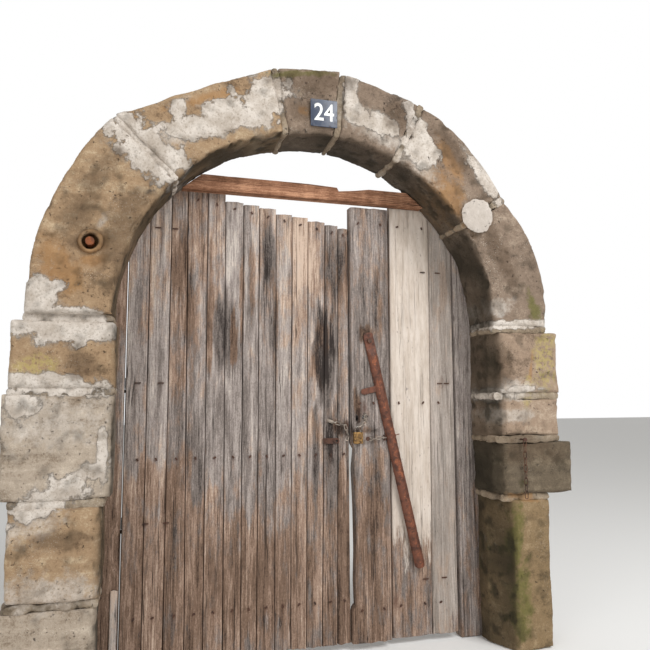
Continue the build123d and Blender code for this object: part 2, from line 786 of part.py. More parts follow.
left_tail, left_tail_length, left_crosswise = tail_link_place(left_hole, leaf_front, left_strand[0])
left_start = (left_hole[0], leaf_front - chain_stand_off, left_hole[1])
left_places, left_end, left_crosswise = chain_places(
    left_start, left_crosswise, left_strand, lock_link, lock_link[2] / 2
)
right_tail, right_tail_length, right_crosswise = tail_link_place(right_hole, meeting_face, right_strand[0])
chain_depth = meeting_face - chain_stand_off
right_places, right_end, right_crosswise = chain_places(
    (right_hole[0], chain_depth, right_hole[1]), right_crosswise, right_strand, lock_link, lock_link[2] / 2
)
lower_places, lower_end, lower_crosswise = chain_places(
    (staple_across, chain_depth, staple_height), (0, 0, 1), lower_strand, lock_link, staple_wire / 2
)
last_heading = lower_places[-1].x_dir
chain_bolt_middle = lower_end - last_heading * (lock_link[2] / 2 + chain_bolt_radius + link_play)
chain_bolt_at = (chain_bolt_middle.X, chain_bolt_middle.Z)
staple_leg_reach = (staple_span - staple_wire) / 2
staple_legs = [(staple_across, staple_height + way * staple_leg_reach) for way in (-1, 1)]

# Holes through the right leaf
with BuildPart() as right_holes:
    with BuildSketch(facing(meeting_face)):
        with Locations(*meeting_board_nails, *right_board_nails, *right_strap_nails):
            Rectangle(nail_size + 2 * nail_play, nail_size + 2 * nail_play)
        with Locations(right_hole):
            RegularPolygon(chain_hole_radius, hole_sides)
        with Locations(rotted_hole):
            Rectangle(*rotted_hole_size, rotation=rotted_hole_turn)
        with Locations((bar_pivot_across, bar_pivot_height)):
            Circle(bar_bolt_radius + nail_play)
    extrude(amount=-(meeting_board_thickness + ledge_thickness))
    with BuildSketch(facing(meeting_face)):
        with Locations(*staple_legs):
            RegularPolygon(staple_wire / 2 + nail_play, forged_sides)
        with Locations(chain_bolt_at):
            RegularPolygon(chain_bolt_radius + nail_play, forged_sides)
    extrude(amount=-(fixing_grip + nail_play))

# Right leaf meeting board, thicker than the rest, its free edge broken away
with BuildPart() as right_meeting_board:
    broken_height = broken_edge_head - broken_edge_foot
    with BuildSketch(facing(meeting_face)):
        with BuildLine():
            Polyline(
                (right_leaf_meeting, floor_gap), (meeting_board_right[1], floor_gap),
                (meeting_board_right[0], meeting_board_head), (right_leaf_meeting, meeting_board_head),
                close=True,
            )
        make_face()
        with BuildLine():
            Polyline(
                *[
                    (right_leaf_meeting + deep * broken_edge_depth, broken_edge_foot + along * broken_height)
                    for along, deep in broken_edge_profile
                ],
                close=True,
            )
        make_face(mode=Mode.SUBTRACT)
    extrude(amount=-meeting_board_thickness)
    chamfer(right_meeting_board.edges().group_by(Axis.Y)[0].sort_by(Axis.X)[-1], board_arris)
    add(right_holes.part, mode=Mode.SUBTRACT)
save(right_meeting_board, "right_meeting_board")

# Right leaf painted board and hanging board
for label, left, right in (
    ("right_painted_board", painted_board_left, painted_board_right),
    ("right_hanging_board", hanging_board_left, hanging_board_right),
):
    with BuildPart() as right_board:
        with BuildSketch(facing(leaf_front)):
            with BuildLine():
                Polyline(
                    (left[1], floor_gap), (right[1], floor_gap), (right[0], leaf_head_height),
                    (left[0], leaf_head_height), close=True,
                )
            make_face()
            add(leaf_outline.sketch, mode=Mode.INTERSECT)
        extrude(amount=-board_thickness)
        long_edges = right_board.faces().sort_by(Axis.Y)[0].edges().sort_by(SortBy.LENGTH)[-2:]
        chamfer(long_edges, board_arris)
        add(right_holes.part, mode=Mode.SUBTRACT)
    save(right_board, label)

# Right leaf ledges
for label, height, ledge_end in zip(
    ("right_foot_ledge", "right_middle_ledge", "right_head_ledge"), right_ledge_heights, right_ledge_ends
):
    with BuildPart() as right_ledge:
        ledge_start = right_leaf_meeting + ledge_meeting_inset
        with BuildSketch(facing(leaf_back)):
            with Locations(((ledge_start + ledge_end) / 2, height)):
                Rectangle(ledge_end - ledge_start, ledge_width)
        extrude(amount=-ledge_thickness)
        chamfer(right_ledge.faces().sort_by(Axis.Y)[-1].edges(), board_arris)
        add(right_holes.part, mode=Mode.SUBTRACT)
    save(right_ledge, label)

# Right leaf straps and nails
save_straps("right_straps", 1, right_pivot_across, right_straps_at, right_holes)
with BuildPart() as right_nails:
    add(nails_through(meeting_board_nails, meeting_face, ledge_back))
    add(nails_through(right_board_nails, leaf_front, ledge_back))
    add(strap_nails(right_strap_nails))
save(right_nails, "right_nails")

# Chains with the toggles that hold them behind the boards
small_link = chain_link(*lock_link)
for label, tail, tail_length, places, hole in (
    ("left_chain", left_tail, left_tail_length, left_places, left_hole),
    ("right_chain", right_tail, right_tail_length, right_places, right_hole),
):
    long_link = chain_link(tail_length, lock_link[1], lock_link[2])
    with BuildPart() as lock_chain:
        with Locations(tail):
            add(long_link)
        with Locations(*places):
            add(small_link)
        toggle_across = tail.z_dir
        toggle_start = Vector(hole[0], toggle_depth, hole[1]) - toggle_across * (toggle_length / 2)
        with BuildSketch(Plane(origin=toggle_start, x_dir=(0, 1, 0), z_dir=toggle_across)):
            Rectangle(2 * toggle_radius, 2 * toggle_radius)
        extrude(amount=toggle_length)
    save(lock_chain, label)
with BuildPart() as lower_chain:
    with Locations(*lower_places):
        add(small_link)
save(lower_chain, "lower_chain")

# Staple and bolt that hold the lower chain
with BuildPart() as chain_fixings:
    with BuildLine() as staple_path:
        Polyline(
            (staple_across, meeting_face + fixing_grip, staple_legs[0][1]),
            (staple_across, chain_depth, staple_legs[0][1]),
            (staple_across, chain_depth, staple_legs[1][1]),
            (staple_across, meeting_face + fixing_grip, staple_legs[1][1]),
        )
    with BuildSketch(facing(meeting_face + fixing_grip)):
        with Locations(staple_legs[0]):
            RegularPolygon(staple_wire / 2, forged_sides)
    sweep(path=staple_path.wires()[0], transition=Transition.RIGHT)
    chain_bolt_head_back = chain_depth - lock_link[2] / 2 - chain_bolt_gap
    with BuildSketch(facing(chain_bolt_head_back)):
        with Locations(chain_bolt_at):
            RegularPolygon(chain_bolt_radius, forged_sides)
    extrude(amount=chain_bolt_head_back - meeting_face - fixing_grip)
    with BuildSketch(facing(chain_bolt_head_back)):
        with Locations(chain_bolt_at):
            RegularPolygon(chain_bolt_head_radius, forged_sides)
    extrude(amount=chain_bolt_head_height)
save(chain_fixings, "chain_fixings")

# Padlock hanging in the last link of the right chain
shackle_crown = right_end.Z + lock_link[2] / 2 + shackle_radius + link_play
padlock_top = shackle_crown - shackle_rise
padlock_across = right_end.X
shackle_side = shackle_spread / 2
heel_across = padlock_across + shackle_side
toe_across = padlock_across - shackle_side
with BuildPart() as padlock_body:
    with BuildSketch(facing(chain_depth - padlock_thickness / 2)):
        with Locations((padlock_across, padlock_top - padlock_height / 2)):
            RectangleRounded(padlock_width, padlock_height, padlock_round)
    extrude(amount=-padlock_thickness)
    for leg_across, depth in ((heel_across, shackle_heel_depth), (toe_across, shackle_toe_depth)):
        with BuildSketch(Plane.XY.offset(padlock_top)):
            with Locations((leg_across, chain_depth)):
                Circle(shackle_radius + shackle_clearance)
        extrude(amount=-(depth + shackle_hole_margin), mode=Mode.SUBTRACT)
save(padlock_body, "padlock_body")
with BuildPart() as padlock_shackle:
    bend_height = shackle_crown - shackle_side
    with BuildLine() as shackle_path:
        Polyline(
            (heel_across, chain_depth, padlock_top - shackle_heel_depth),
            (heel_across, chain_depth, bend_height),
            *[
                (
                    padlock_across + shackle_side * cos(radians(turn)), chain_depth,
                    bend_height + shackle_side * sin(radians(turn)),
                )
                for turn in shackle_bend_turns
            ],
            (toe_across, chain_depth, bend_height),
            (toe_across, chain_depth, padlock_top - shackle_toe_depth),
        )
    with BuildSketch(Plane.XY.offset(padlock_top - shackle_heel_depth)):
        with Locations((heel_across, chain_depth)):
            Circle(shackle_radius)
    sweep(path=shackle_path.wires()[0], transition=Transition.RIGHT)
save(padlock_shackle, "padlock_shackle")

# Locking bar: a half-round bar flattened at its head, with a tongue and a peg
bar_down = Vector(sin(bar_lean), 0, -cos(bar_lean))
bar_back = meeting_face - bar_stand_off
bar_plane = Plane(origin=(bar_pivot_across, bar_back, bar_pivot_height), x_dir=bar_down, z_dir=(0, -1, 0))
bar_length = bar_above_pivot + bar_below_pivot
with BuildPart() as locking_bar:
    with BuildSketch(bar_plane):
        with Locations(((bar_below_pivot - bar_above_pivot) / 2, 0)):
            RectangleRounded(bar_length, bar_width, bar_foot_round)
    extrude(amount=bar_crown)
    bar_head = bar_plane.origin - bar_down * bar_above_pivot
    with BuildSketch(Plane(origin=bar_head, x_dir=bar_plane.y_dir, z_dir=bar_down)):
        with BuildLine():
            ThreePointArc((-bar_width / 2, 0), (0, bar_crown), (bar_width / 2, 0))
            Line((bar_width / 2, 0), (-bar_width / 2, 0))
        make_face()
    extrude(amount=bar_length, mode=Mode.INTERSECT)
    with BuildSketch(Plane(origin=bar_plane.origin, x_dir=bar_down, z_dir=bar_down.cross(Vector(0, -1, 0)))):
        with BuildLine():
            Polyline(
                (-bar_above_pivot, bar_flat_thickness), (bar_flat_below_pivot, bar_flat_thickness),
                (bar_flat_below_pivot + bar_rise_length, bar_crown), (-bar_above_pivot, bar_crown),
                close=True,
            )
        make_face()
    extrude(amount=bar_width, both=True, mode=Mode.SUBTRACT)
    with BuildSketch(bar_plane):
        with Locations((tongue_below_pivot, -tongue_reach / 2)):
            Rectangle(tongue_width, tongue_reach - tongue_width)
        with Locations((tongue_below_pivot, -(tongue_reach - tongue_width / 2))):
            Circle(tongue_width / 2)
    extrude(amount=tongue_thickness)
    with BuildSketch(Plane(origin=bar_plane.origin + bar_down * peg_below_pivot, z_dir=bar_plane.y_dir)):
        RegularPolygon(peg_radius, forged_sides)
    extrude(amount=peg_reach)
    with BuildSketch(bar_plane):
        Circle(bar_bolt_radius + bar_bolt_clearance)
    extrude(amount=bar_crown, mode=Mode.SUBTRACT)
save(locking_bar, "locking_bar")

# Bolt that the bar swings on, with its plate behind the board
with BuildPart() as bar_bolt:
    bolt_head_back = bar_back - bar_flat_thickness - bar_bolt_head_gap
    with BuildSketch(facing(bolt_head_back)):
        with Locations((bar_pivot_across, bar_pivot_height)):
            Circle(bar_bolt_radius)
    extrude(amount=bolt_head_back - leaf_back)
    with BuildSketch(facing(bolt_head_back)):
        with Locations((bar_pivot_across, bar_pivot_height)):
            RegularPolygon(bar_bolt_head_radius, forged_sides)
    extrude(amount=bar_bolt_head_height)
    with BuildSketch(facing(leaf_back)):
        with Locations((bar_pivot_across, bar_pivot_height)):
            Rectangle(bar_bolt_plate, bar_bolt_plate)
    extrude(amount=-bar_bolt_plate_thickness)
save(bar_bolt, "bar_bolt")

# Nail in the right jamb and the chain that hangs on it
wall_chain_depth = plain_face - right_jamb["right_dark_stone"][5] - wall_link[1] / 2 - wall_chain_clear
with BuildPart() as wall_nail:
    nail_head_back = wall_chain_depth - wall_link[2] / 2 - link_play
    with BuildSketch(facing(nail_head_back)):
        with Locations((chain_nail_across, chain_nail_height)):
            Circle(chain_nail_radius)
    extrude(amount=nail_head_back - plain_face - chain_nail_grip)
    with BuildSketch(facing(nail_head_back)):
        with Locations((chain_nail_across, chain_nail_height)):
            RegularPolygon(chain_nail_head_radius, forged_sides)
    extrude(amount=chain_nail_head_thickness)
save(wall_nail, "wall_nail")
wall_places, wall_end, wall_crosswise = chain_places(
    (chain_nail_across, wall_chain_depth, chain_nail_height), (0, 1, 0), ((0, 0, -1),) * wall_chain_links,
    wall_link, chain_nail_radius,
)
large_link = chain_link(*wall_link)
with BuildPart() as wall_chain:
    with Locations(*wall_places):
        add(large_link)
save(wall_chain, "wall_chain")
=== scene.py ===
import json
import math

import bmesh
import bpy
import numpy as np
from mathutils import Matrix, Vector, noise


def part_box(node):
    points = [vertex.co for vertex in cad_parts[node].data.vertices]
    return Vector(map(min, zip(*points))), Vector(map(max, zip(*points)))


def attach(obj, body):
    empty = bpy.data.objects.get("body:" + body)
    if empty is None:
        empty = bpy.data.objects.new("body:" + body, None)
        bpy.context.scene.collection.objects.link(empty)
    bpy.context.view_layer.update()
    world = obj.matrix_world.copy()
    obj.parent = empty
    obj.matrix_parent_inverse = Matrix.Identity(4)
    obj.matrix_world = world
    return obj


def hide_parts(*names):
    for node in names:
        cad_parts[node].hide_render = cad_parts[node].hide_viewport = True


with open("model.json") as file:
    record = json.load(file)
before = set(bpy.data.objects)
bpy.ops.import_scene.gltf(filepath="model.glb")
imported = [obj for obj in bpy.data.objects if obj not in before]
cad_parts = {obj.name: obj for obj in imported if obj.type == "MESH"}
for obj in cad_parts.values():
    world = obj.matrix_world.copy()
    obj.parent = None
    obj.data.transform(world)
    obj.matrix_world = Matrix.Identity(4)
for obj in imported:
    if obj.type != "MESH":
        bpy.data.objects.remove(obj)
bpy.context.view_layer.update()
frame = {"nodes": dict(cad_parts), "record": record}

bl_info = {
    "name": "Arched plank door",
    "version": (1, 0, 0),
    "blender": (4, 5, 0),
    "location": "3D View > Sidebar > Door",
    "description": "Dresses a weathered plank door and its stone surround",
    "category": "Object",
}

SLOTS = {part["node"]: part["material_slot"] for part in frame["record"]["subparts"]}
STONES = sorted(node for node, slot in SLOTS.items() if slot.endswith("_stone"))
LEFT_BOARDS = [f"left_board_{number}" for number in range(1, 14)]
RIGHT_BOARDS = ["right_meeting_board", "right_painted_board", "right_hanging_board"]
LEFT_LEDGES = ["left_foot_ledge", "left_middle_ledge", "left_head_ledge"]
RIGHT_LEDGES = ["right_foot_ledge", "right_middle_ledge", "right_head_ledge"]
CHAINS = {
    "left_chain": "left_leaf", "right_chain": "right_leaf", "lower_chain": "right_leaf", "wall_chain": "wall_chain",
}

# Lime, thin lime film, stains and growth on the stones: middle across and up, half length, half width, turn
STONE_PATCHES = {
    "lime": (
        (-0.632, 1.852, 0.200, 0.084, -42), (-0.480, 1.950, 0.100, 0.046, 12), (-0.375, 1.985, 0.120, 0.064, 24),
        (-0.225, 2.055, 0.120, 0.092, 30), (-0.520, 2.000, 0.060, 0.030, 70), (0.130, 2.150, 0.110, 0.034, 86),
        (0.165, 2.060, 0.075, 0.040, -30), (0.260, 2.030, 0.080, 0.040, -20), (0.425, 2.010, 0.150, 0.042, -62),
        (0.400, 1.945, 0.080, 0.046, -40), (0.690, 1.870, 0.120, 0.030, -52), (0.800, 1.262, 0.200, 0.018, 1),
        (-0.890, 1.215, 0.190, 0.062, -2), (-0.985, 1.290, 0.100, 0.066, 20), (-0.900, 1.020, 0.170, 0.034, -3),
        (-0.880, 0.668, 0.185, 0.050, 27), (-1.000, 0.950, 0.060, 0.050, 0), (0.735, 0.985, 0.060, 0.030, 0),
        (-0.745, 0.780, 0.020, 0.090, 0), (0.820, 1.000, 0.120, 0.014, 4),
    ),
    "film": (
        (0.240, 2.010, 0.180, 0.060, -32), (0.420, 1.900, 0.120, 0.050, -50), (-0.330, 2.000, 0.220, 0.060, 22),
        (-0.560, 1.890, 0.140, 0.050, 46), (-0.900, 0.900, 0.160, 0.090, 0), (-0.960, 0.580, 0.110, 0.050, 22),
        (0.800, 1.000, 0.140, 0.040, 0), (0.780, 0.900, 0.120, 0.030, 0), (-0.900, 0.350, 0.160, 0.060, 0),
        (0.740, 1.330, 0.080, 0.040, 10), (-0.770, 1.575, 0.030, 0.014, 60),
    ),
    "ochre": (
        (0.505, 1.800, 0.150, 0.075, -54), (0.545, 1.920, 0.110, 0.035, -58), (-0.900, 1.400, 0.110, 0.060, -70),
        (-0.960, 1.340, 0.050, 0.040, 0), (-0.795, 1.440, 0.040, 0.030, 0), (0.830, 0.580, 0.080, 0.016, -12),
        (-0.060, 2.060, 0.020, 0.020, 0), (-0.420, 2.060, 0.160, 0.020, 22), (0.880, 1.060, 0.090, 0.010, 80),
        (-0.805, 1.500, 0.045, 0.040, 0),
    ),
    "moss": (
        (0.800, 0.430, 0.180, 0.032, 84), (0.815, 0.200, 0.160, 0.050, 88), (0.655, 1.245, 0.060, 0.022, 0),
        (0.905, 1.345, 0.070, 0.030, 100), (-0.060, 2.205, 0.140, 0.016, 8), (0.665, 0.250, 0.260, 0.060, 88),
    ),
    "lichen": (
        (0.950, 1.120, 0.120, 0.050, 82), (0.870, 1.000, 0.060, 0.024, 80), (-0.960, 1.080, 0.060, 0.040, 0),
    ),
    "soot": (
        (-0.830, 1.520, 0.070, 0.035, 40), (-0.850, 1.600, 0.100, 0.060, 55), (-0.700, 1.560, 0.160, 0.060, 65),
        (-0.780, 1.740, 0.120, 0.040, 48), (-0.700, 1.420, 0.100, 0.040, 80), (0.020, 2.180, 0.160, 0.050, 0),
        (-0.060, 2.060, 0.080, 0.050, 0), (0.330, 2.080, 0.060, 0.060, -30), (0.560, 1.960, 0.120, 0.040, -50),
        (0.760, 1.560, 0.160, 0.040, -65), (0.850, 0.770, 0.160, 0.060, 0), (0.760, 1.080, 0.040, 0.080, 0),
        (-0.860, 0.520, 0.120, 0.030, 0), (-0.820, 1.080, 0.060, 0.050, 0),
    ),
}

# Hollows worn into the stones: middle across and up, half width, half height, depth
HOLLOWS = (
    (-0.790, 1.545, 0.120, 0.105, 0.017), (-0.905, 1.505, 0.040, 0.045, 0.008), (-0.800, 1.418, 0.065, 0.026, 0.007),
    (-0.560, 2.010, 0.070, 0.030, 0.008), (-0.380, 1.930, 0.080, 0.022, 0.012), (0.020, 1.975, 0.120, 0.016, 0.008),
    (0.930, 1.150, 0.050, 0.090, 0.007), (-0.940, 0.880, 0.080, 0.020, 0.006), (-0.860, 0.780, 0.120, 0.016, 0.005),
    (0.840, 0.870, 0.090, 0.030, 0.006), (0.880, 0.300, 0.050, 0.120, 0.009),
)

# Colours of the stones: light, middle and dark, then how speckled and how banded
STONE_LOOKS = {
    "ochre_stone": ((196, 174, 144), (164, 137, 107), (114, 92, 70), 0.6, 0.3),
    "grey_stone": ((170, 152, 134), (136, 118, 102), (88, 76, 66), 0.9, 0.2),
    "pink_stone": ((190, 170, 149), (162, 140, 120), (116, 98, 82), 0.6, 0.2),
    "dark_stone": ((136, 122, 102), (106, 94, 78), (70, 60, 50), 0.3, 0.35),
    "mossy_stone": ((170, 148, 116), (140, 118, 88), (98, 82, 60), 0.3, 0.2),
    "pale_stone": ((206, 192, 174), (178, 163, 146), (136, 120, 102), 0.6, 0.5),
}

# Seed of the slow unevenness that runs on from stone to stone and over the pointing
SLOW_SEED = 3.0

# The arch: height of its springing line, radius of its front arris, radius inside which grime and painted shade
# gather, and depth at which the chips of the arris have ended and the grime and painted shade are full
SPRINGING = 1.25
ARRIS_RADIUS = 0.735
GRIME_AND_SHADE_RADIUS = 0.80
REVEAL_START = -0.09

# Round the iron stub: half width, half height and depth of the hollow, and radius of its crumbled rim
STUB_HOLLOW = (0.055, 0.050, 0.013)
STUB_RIM = 0.028

# Tone, warmth at the head and warmth at the foot of each board, from left to right
BOARD_TONES = {
    "left_board_1": (0.56, 0.50, 0.75), "left_board_2": (0.62, 0.42, 0.70), "left_board_3": (0.50, 0.60, 0.66),
    "left_board_4": (0.50, 0.55, 0.68), "left_board_5": (0.58, 0.45, 0.62), "left_board_6": (0.58, 0.25, 0.60),
    "left_board_7": (0.58, 0.35, 0.55), "left_board_8": (0.56, 0.45, 0.50), "left_board_9": (0.60, 0.48, 0.48),
    "left_board_10": (0.66, 0.60, 0.62), "left_board_11": (0.58, 0.55, 0.56), "left_board_12": (0.48, 0.42, 0.55),
    "left_board_13": (0.48, 0.55, 0.95), "right_meeting_board": (0.50, 0.38, 0.62),
    "right_painted_board": (0.60, 0.50, 0.55), "right_hanging_board": (0.55, 0.36, 0.40),
}

# Heights on the wood: warm and damp below the first, greyest at the second, lighter above the third
DAMP_HEIGHT = 0.60
HAND_HEIGHT = 0.98
LIGHT_HEIGHT = 1.3

# Marks on the wood: middle across and up, half width, half height, darkness (below 0 bleached), warmth
WOOD_MARKS = (
    (-0.322, 1.215, 0.052, 0.155, 0.85, 0.15), (-0.285, 1.190, 0.014, 0.150, 0.60, 1.0),
    (-0.377, 1.270, 0.012, 0.270, 0.40, 1.0), (0.072, 1.165, 0.040, 0.175, 1.30, 0.25),
    (0.094, 1.020, 0.014, 0.150, 0.60, 0.3), (-0.490, 1.480, 0.036, 0.140, 0.60, 0.8),
    (-0.455, 1.310, 0.020, 0.180, 0.50, 0.8), (-0.150, 1.530, 0.030, 0.160, 0.60, 0.3),
    (-0.254, 1.330, 0.010, 0.260, 0.60, 0.7), (-0.215, 1.420, 0.012, 0.200, 0.50, 0.6),
    (-0.120, 1.250, 0.014, 0.160, 0.50, 0.7), (-0.300, 1.530, 0.034, 0.110, -0.35, 0.05),
    (-0.345, 1.600, 0.016, 0.080, -0.40, 0.6), (-0.020, 1.560, 0.060, 0.160, -0.25, 0.75),
    (-0.560, 1.420, 0.030, 0.180, -0.15, 0.3), (-0.440, 1.210, 0.018, 0.240, 0.35, 0.5),
    (-0.300, 0.880, 0.130, 0.190, 0.10, -0.2), (-0.420, 0.760, 0.020, 0.200, 0.35, 0.0),
    (-0.120, 0.830, 0.070, 0.220, 0.05, -0.1), (0.040, 0.720, 0.014, 0.300, 0.50, 0.2),
    (0.100, 0.800, 0.020, 0.120, 0.70, 0.2), (0.125, 0.740, 0.012, 0.180, 0.50, 0.3),
    (0.030, 1.060, 0.030, 0.300, -0.25, 0.5), (-0.120, 1.050, 0.012, 0.280, 0.30, 0.4),
    (0.160, 0.430, 0.024, 0.230, 0.10, 1.1), (0.270, 0.560, 0.080, 0.200, 0.20, 0.7),
    (0.255, 1.230, 0.030, 0.040, 0.50, 0.8), (0.300, 1.360, 0.020, 0.180, 0.35, 0.5),
    (-0.600, 0.690, 0.030, 0.090, 0.00, 1.2), (-0.520, 0.620, 0.040, 0.110, 0.00, 1.1),
    (-0.210, 0.290, 0.220, 0.190, 0.16, 0.9), (-0.240, 0.470, 0.020, 0.120, 0.10, 1.2),
    (0.420, 1.650, 0.030, 0.100, 0.40, 0.6), (0.500, 1.640, 0.020, 0.080, 0.40, 0.7),
    (0.590, 1.420, 0.034, 0.130, 0.30, 0.9), (0.640, 1.180, 0.014, 0.240, -0.30, 0.4),
    (0.575, 1.100, 0.020, 0.200, -0.25, 0.5), (0.620, 0.780, 0.040, 0.160, -0.12, -0.2),
    (-0.560, 0.980, 0.020, 0.200, 0.22, 0.2), (-0.640, 1.350, 0.010, 0.200, 0.20, 0.3),
    # The first mark on the next line is a painted shadow of the arch on the heads of the boards
    (0.120, 1.500, 0.070, 0.130, 0.45, 0.4), (-0.680, 1.000, 0.030, 0.300, -0.10, 0.2),
    (0.560, 0.560, 0.030, 0.260, 0.05, 0.1), (0.580, 1.480, 0.020, 0.160, 0.30, 0.2),
    # The first mark on the next line is painted shade round the padlock and under its chains
    (0.150, 0.850, 0.040, 0.030, 0.80, 0.5), (0.215, 0.900, 0.016, 0.030, 0.90, 0.8),
    (0.230, 0.842, 0.060, 0.010, 0.50, 0.5), (0.205, 0.960, 0.010, 0.060, 0.50, 1.1),
)

# Rust bled into the wood: middle across and up, half width, half height
RUST_MARKS = (
    (0.370, 0.431, 0.010, 0.040), (0.368, 0.165, 0.008, 0.034), (0.413, 1.707, 0.008, 0.030),
    (0.593, 1.040, 0.009, 0.014), (0.601, 1.016, 0.006, 0.016), (0.624, 1.033, 0.005, 0.012),
    (0.503, 0.244, 0.006, 0.024), (0.240, 0.930, 0.012, 0.030), (0.176, 0.860, 0.010, 0.020),
    (0.512, 1.010, 0.004, 0.020), (0.508, 0.930, 0.003, 0.016), (0.516, 0.860, 0.004, 0.012),
    (0.511, 0.790, 0.003, 0.020), (0.517, 0.700, 0.004, 0.014), (0.506, 1.100, 0.003, 0.010),
)

# Holes that the chains come through: across and up, width and height against the set radius, seed
CHAIN_HOLES = {
    "left_leaf": ((0.103, 0.879, 1.0, 1.15, 2.0),),
    "right_leaf": ((0.243, 0.895, 1.0, 1.0, 4.0), (0.210, 0.890, 0.6, 1.3, 6.0)),
}

# Rotted notch in the left post: middle across and up, half width, half height; and its depth
ROT_NOTCH = (-0.690, 0.437, 0.026, 0.080)
ROT_DEPTH = 0.022

# How far the back corners of the boards, and of the posts and rail, reach out to close the seams
BOARD_MEET = 0.0024
FRAME_MEET = 0.0012

# Figures on the number plate: height against the size of the font, and half width against the width of the plate
FIGURE_SHARE = 0.70
FIGURE_REACH = 0.37

# Camera at the photo's angle: place, lens in millimetres, and turns in degrees
CAMERA_PLACE = (-0.6308, -2.4425, 0.9699)
CAMERA_LENS = 36.32
CAMERA_PITCH = 6.385
CAMERA_YAW = -15.736
CAMERA_ROLL = -0.281

# Soft lamps: place, and power against the main lamp's
LAMPS = {"main_lamp": ((2.4, -4.0, 4.8), 1.0), "fill_lamp": ((-4.0, -4.2, 2.6), 0.30)}
LAMP_SIZE = 3.0
LAMP_AIM = (0.0, 0.0, 1.2)

# Half length of the floor's sides
FLOOR_REACH = 24.0

# Ring of a timber's section: across it and into its depth
TIMBER_RING = (
    (0.0, 0.12), (0.02, 0.02), (0.08, 0.0), (0.17, 0.0), (0.26, 0.0), (0.35, 0.0), (0.44, 0.0), (0.53, 0.0),
    (0.62, 0.0), (0.71, 0.0), (0.8, 0.0), (0.9, 0.0), (0.98, 0.02), (1.0, 0.12), (1.0, 0.55), (0.99, 0.96),
    (0.93, 1.0), (0.62, 1.0), (0.35, 1.0), (0.07, 1.0), (0.01, 0.96), (0.0, 0.55),
)


def tint(red, green, blue):
    """Colour on a shader socket from the three values of a paint chart, 0 to 255."""
    channels = [value / 255 for value in (red, green, blue)]
    return tuple(c / 12.92 if c <= 0.04045 else ((c + 0.055) / 1.055) ** 2.4 for c in channels) + (1.0,)


# Shader parts


def feed(node, **sockets):
    """Gives each socket, by name or as n and its place, a value or the output that feeds it."""
    for name, value in sockets.items():
        by_place = name[0] == "n" and name[1:].isdigit()
        socket = node.inputs[int(name[1:]) if by_place else name.replace("_", " ")]
        if isinstance(value, bpy.types.NodeSocket):
            node.id_data.links.new(value, socket)
        else:
            socket.default_value = value
    return node


def put(tree, kind, settings=None, **sockets):
    """Adds a node with its settings and sockets."""
    node = tree.nodes.new(kind)
    for name, value in (settings or {}).items():
        setattr(node, name, value)
    return feed(node, **sockets)


def grains(tree, vector, scale, detail=4.0, roughness=0.55):
    texture = put(tree, "ShaderNodeTexNoise", Vector=vector, Scale=scale, Detail=detail, Roughness=roughness)
    return texture.outputs["Fac"]


def streaky(tree, vector, across, along, detail, roughness=0.55):
    """Noise drawn out along Z."""
    settings = {"operation": "MULTIPLY"}
    drawn = put(tree, "ShaderNodeVectorMath", settings, n0=vector, n1=(across, across, along)).outputs[0]
    return grains(tree, drawn, 1.0, detail, roughness)


def sums(tree, operation, first, second=0.5, third=0.5):
    return put(tree, "ShaderNodeMath", {"operation": operation}, n0=first, n1=second, n2=third).outputs[0]


def stacked(tree, level, *layers):
    """Level with the value of each layer times its weight added."""
    for value, weight in layers:
        level = sums(tree, "MULTIPLY_ADD", value, weight, level)
    return level


def swayed(tree, level, *layers):
    """Level moved up and down by noises with their weights; a noise at its middle of 0.5 leaves it in place."""
    middle = sum(weight for _, weight in layers) / 2
    return stacked(tree, sums(tree, "SUBTRACT", level, middle), *layers)


def between(tree, value, low, high, to_low=0.0, to_high=1.0):
    """Smooth step of a value from low to high."""
    settings = {"interpolation_type": "SMOOTHSTEP"}
    node = put(tree, "ShaderNodeMapRange", settings, n0=value, n1=low, n2=high, n3=to_low, n4=to_high)
    return node.outputs[0]


def blended(tree, share, first, second, kind="MIX"):
    node = put(tree, "ShaderNodeMix", {"data_type": "RGBA", "blend_type": kind}, n0=share, n6=first, n7=second)
    return node.outputs[2]


def toned(tree, tone, color, *steps):
    """Colour that turns into each step's own as the tone passes from the step's start to its end."""
    for start, end, following in steps:
        color = blended(tree, between(tree, tone, start, end), color, following)
    return color


def painted(tree, name):
    return put(tree, "ShaderNodeAttribute", {"attribute_name": name}).outputs["Fac"]


def shader_group(name, kinds=None, defaults=None, results=("Height",)):
    """New node group and what it is given: a place, sockets by their kind and values by their default."""
    group = bpy.data.node_groups.new(name, "ShaderNodeTree")
    for label, kind in ({"Vector": "Vector"} | (kinds or {})).items():
        group.interface.new_socket(name=label, in_out="INPUT", socket_type=f"NodeSocket{kind}")
    for label, default in (defaults or {}).items():
        socket = group.interface.new_socket(name=label, in_out="INPUT", socket_type="NodeSocketFloat")
        socket.default_value = default
    group.interface.new_socket(name="Color", in_out="OUTPUT", socket_type="NodeSocketColor")
    for label in results:
        group.interface.new_socket(name=label, in_out="OUTPUT", socket_type="NodeSocketFloat")
    return group, group.nodes.new("NodeGroupInput").outputs


def shared(name, build):
    return bpy.data.node_groups.get(name) or build(name)


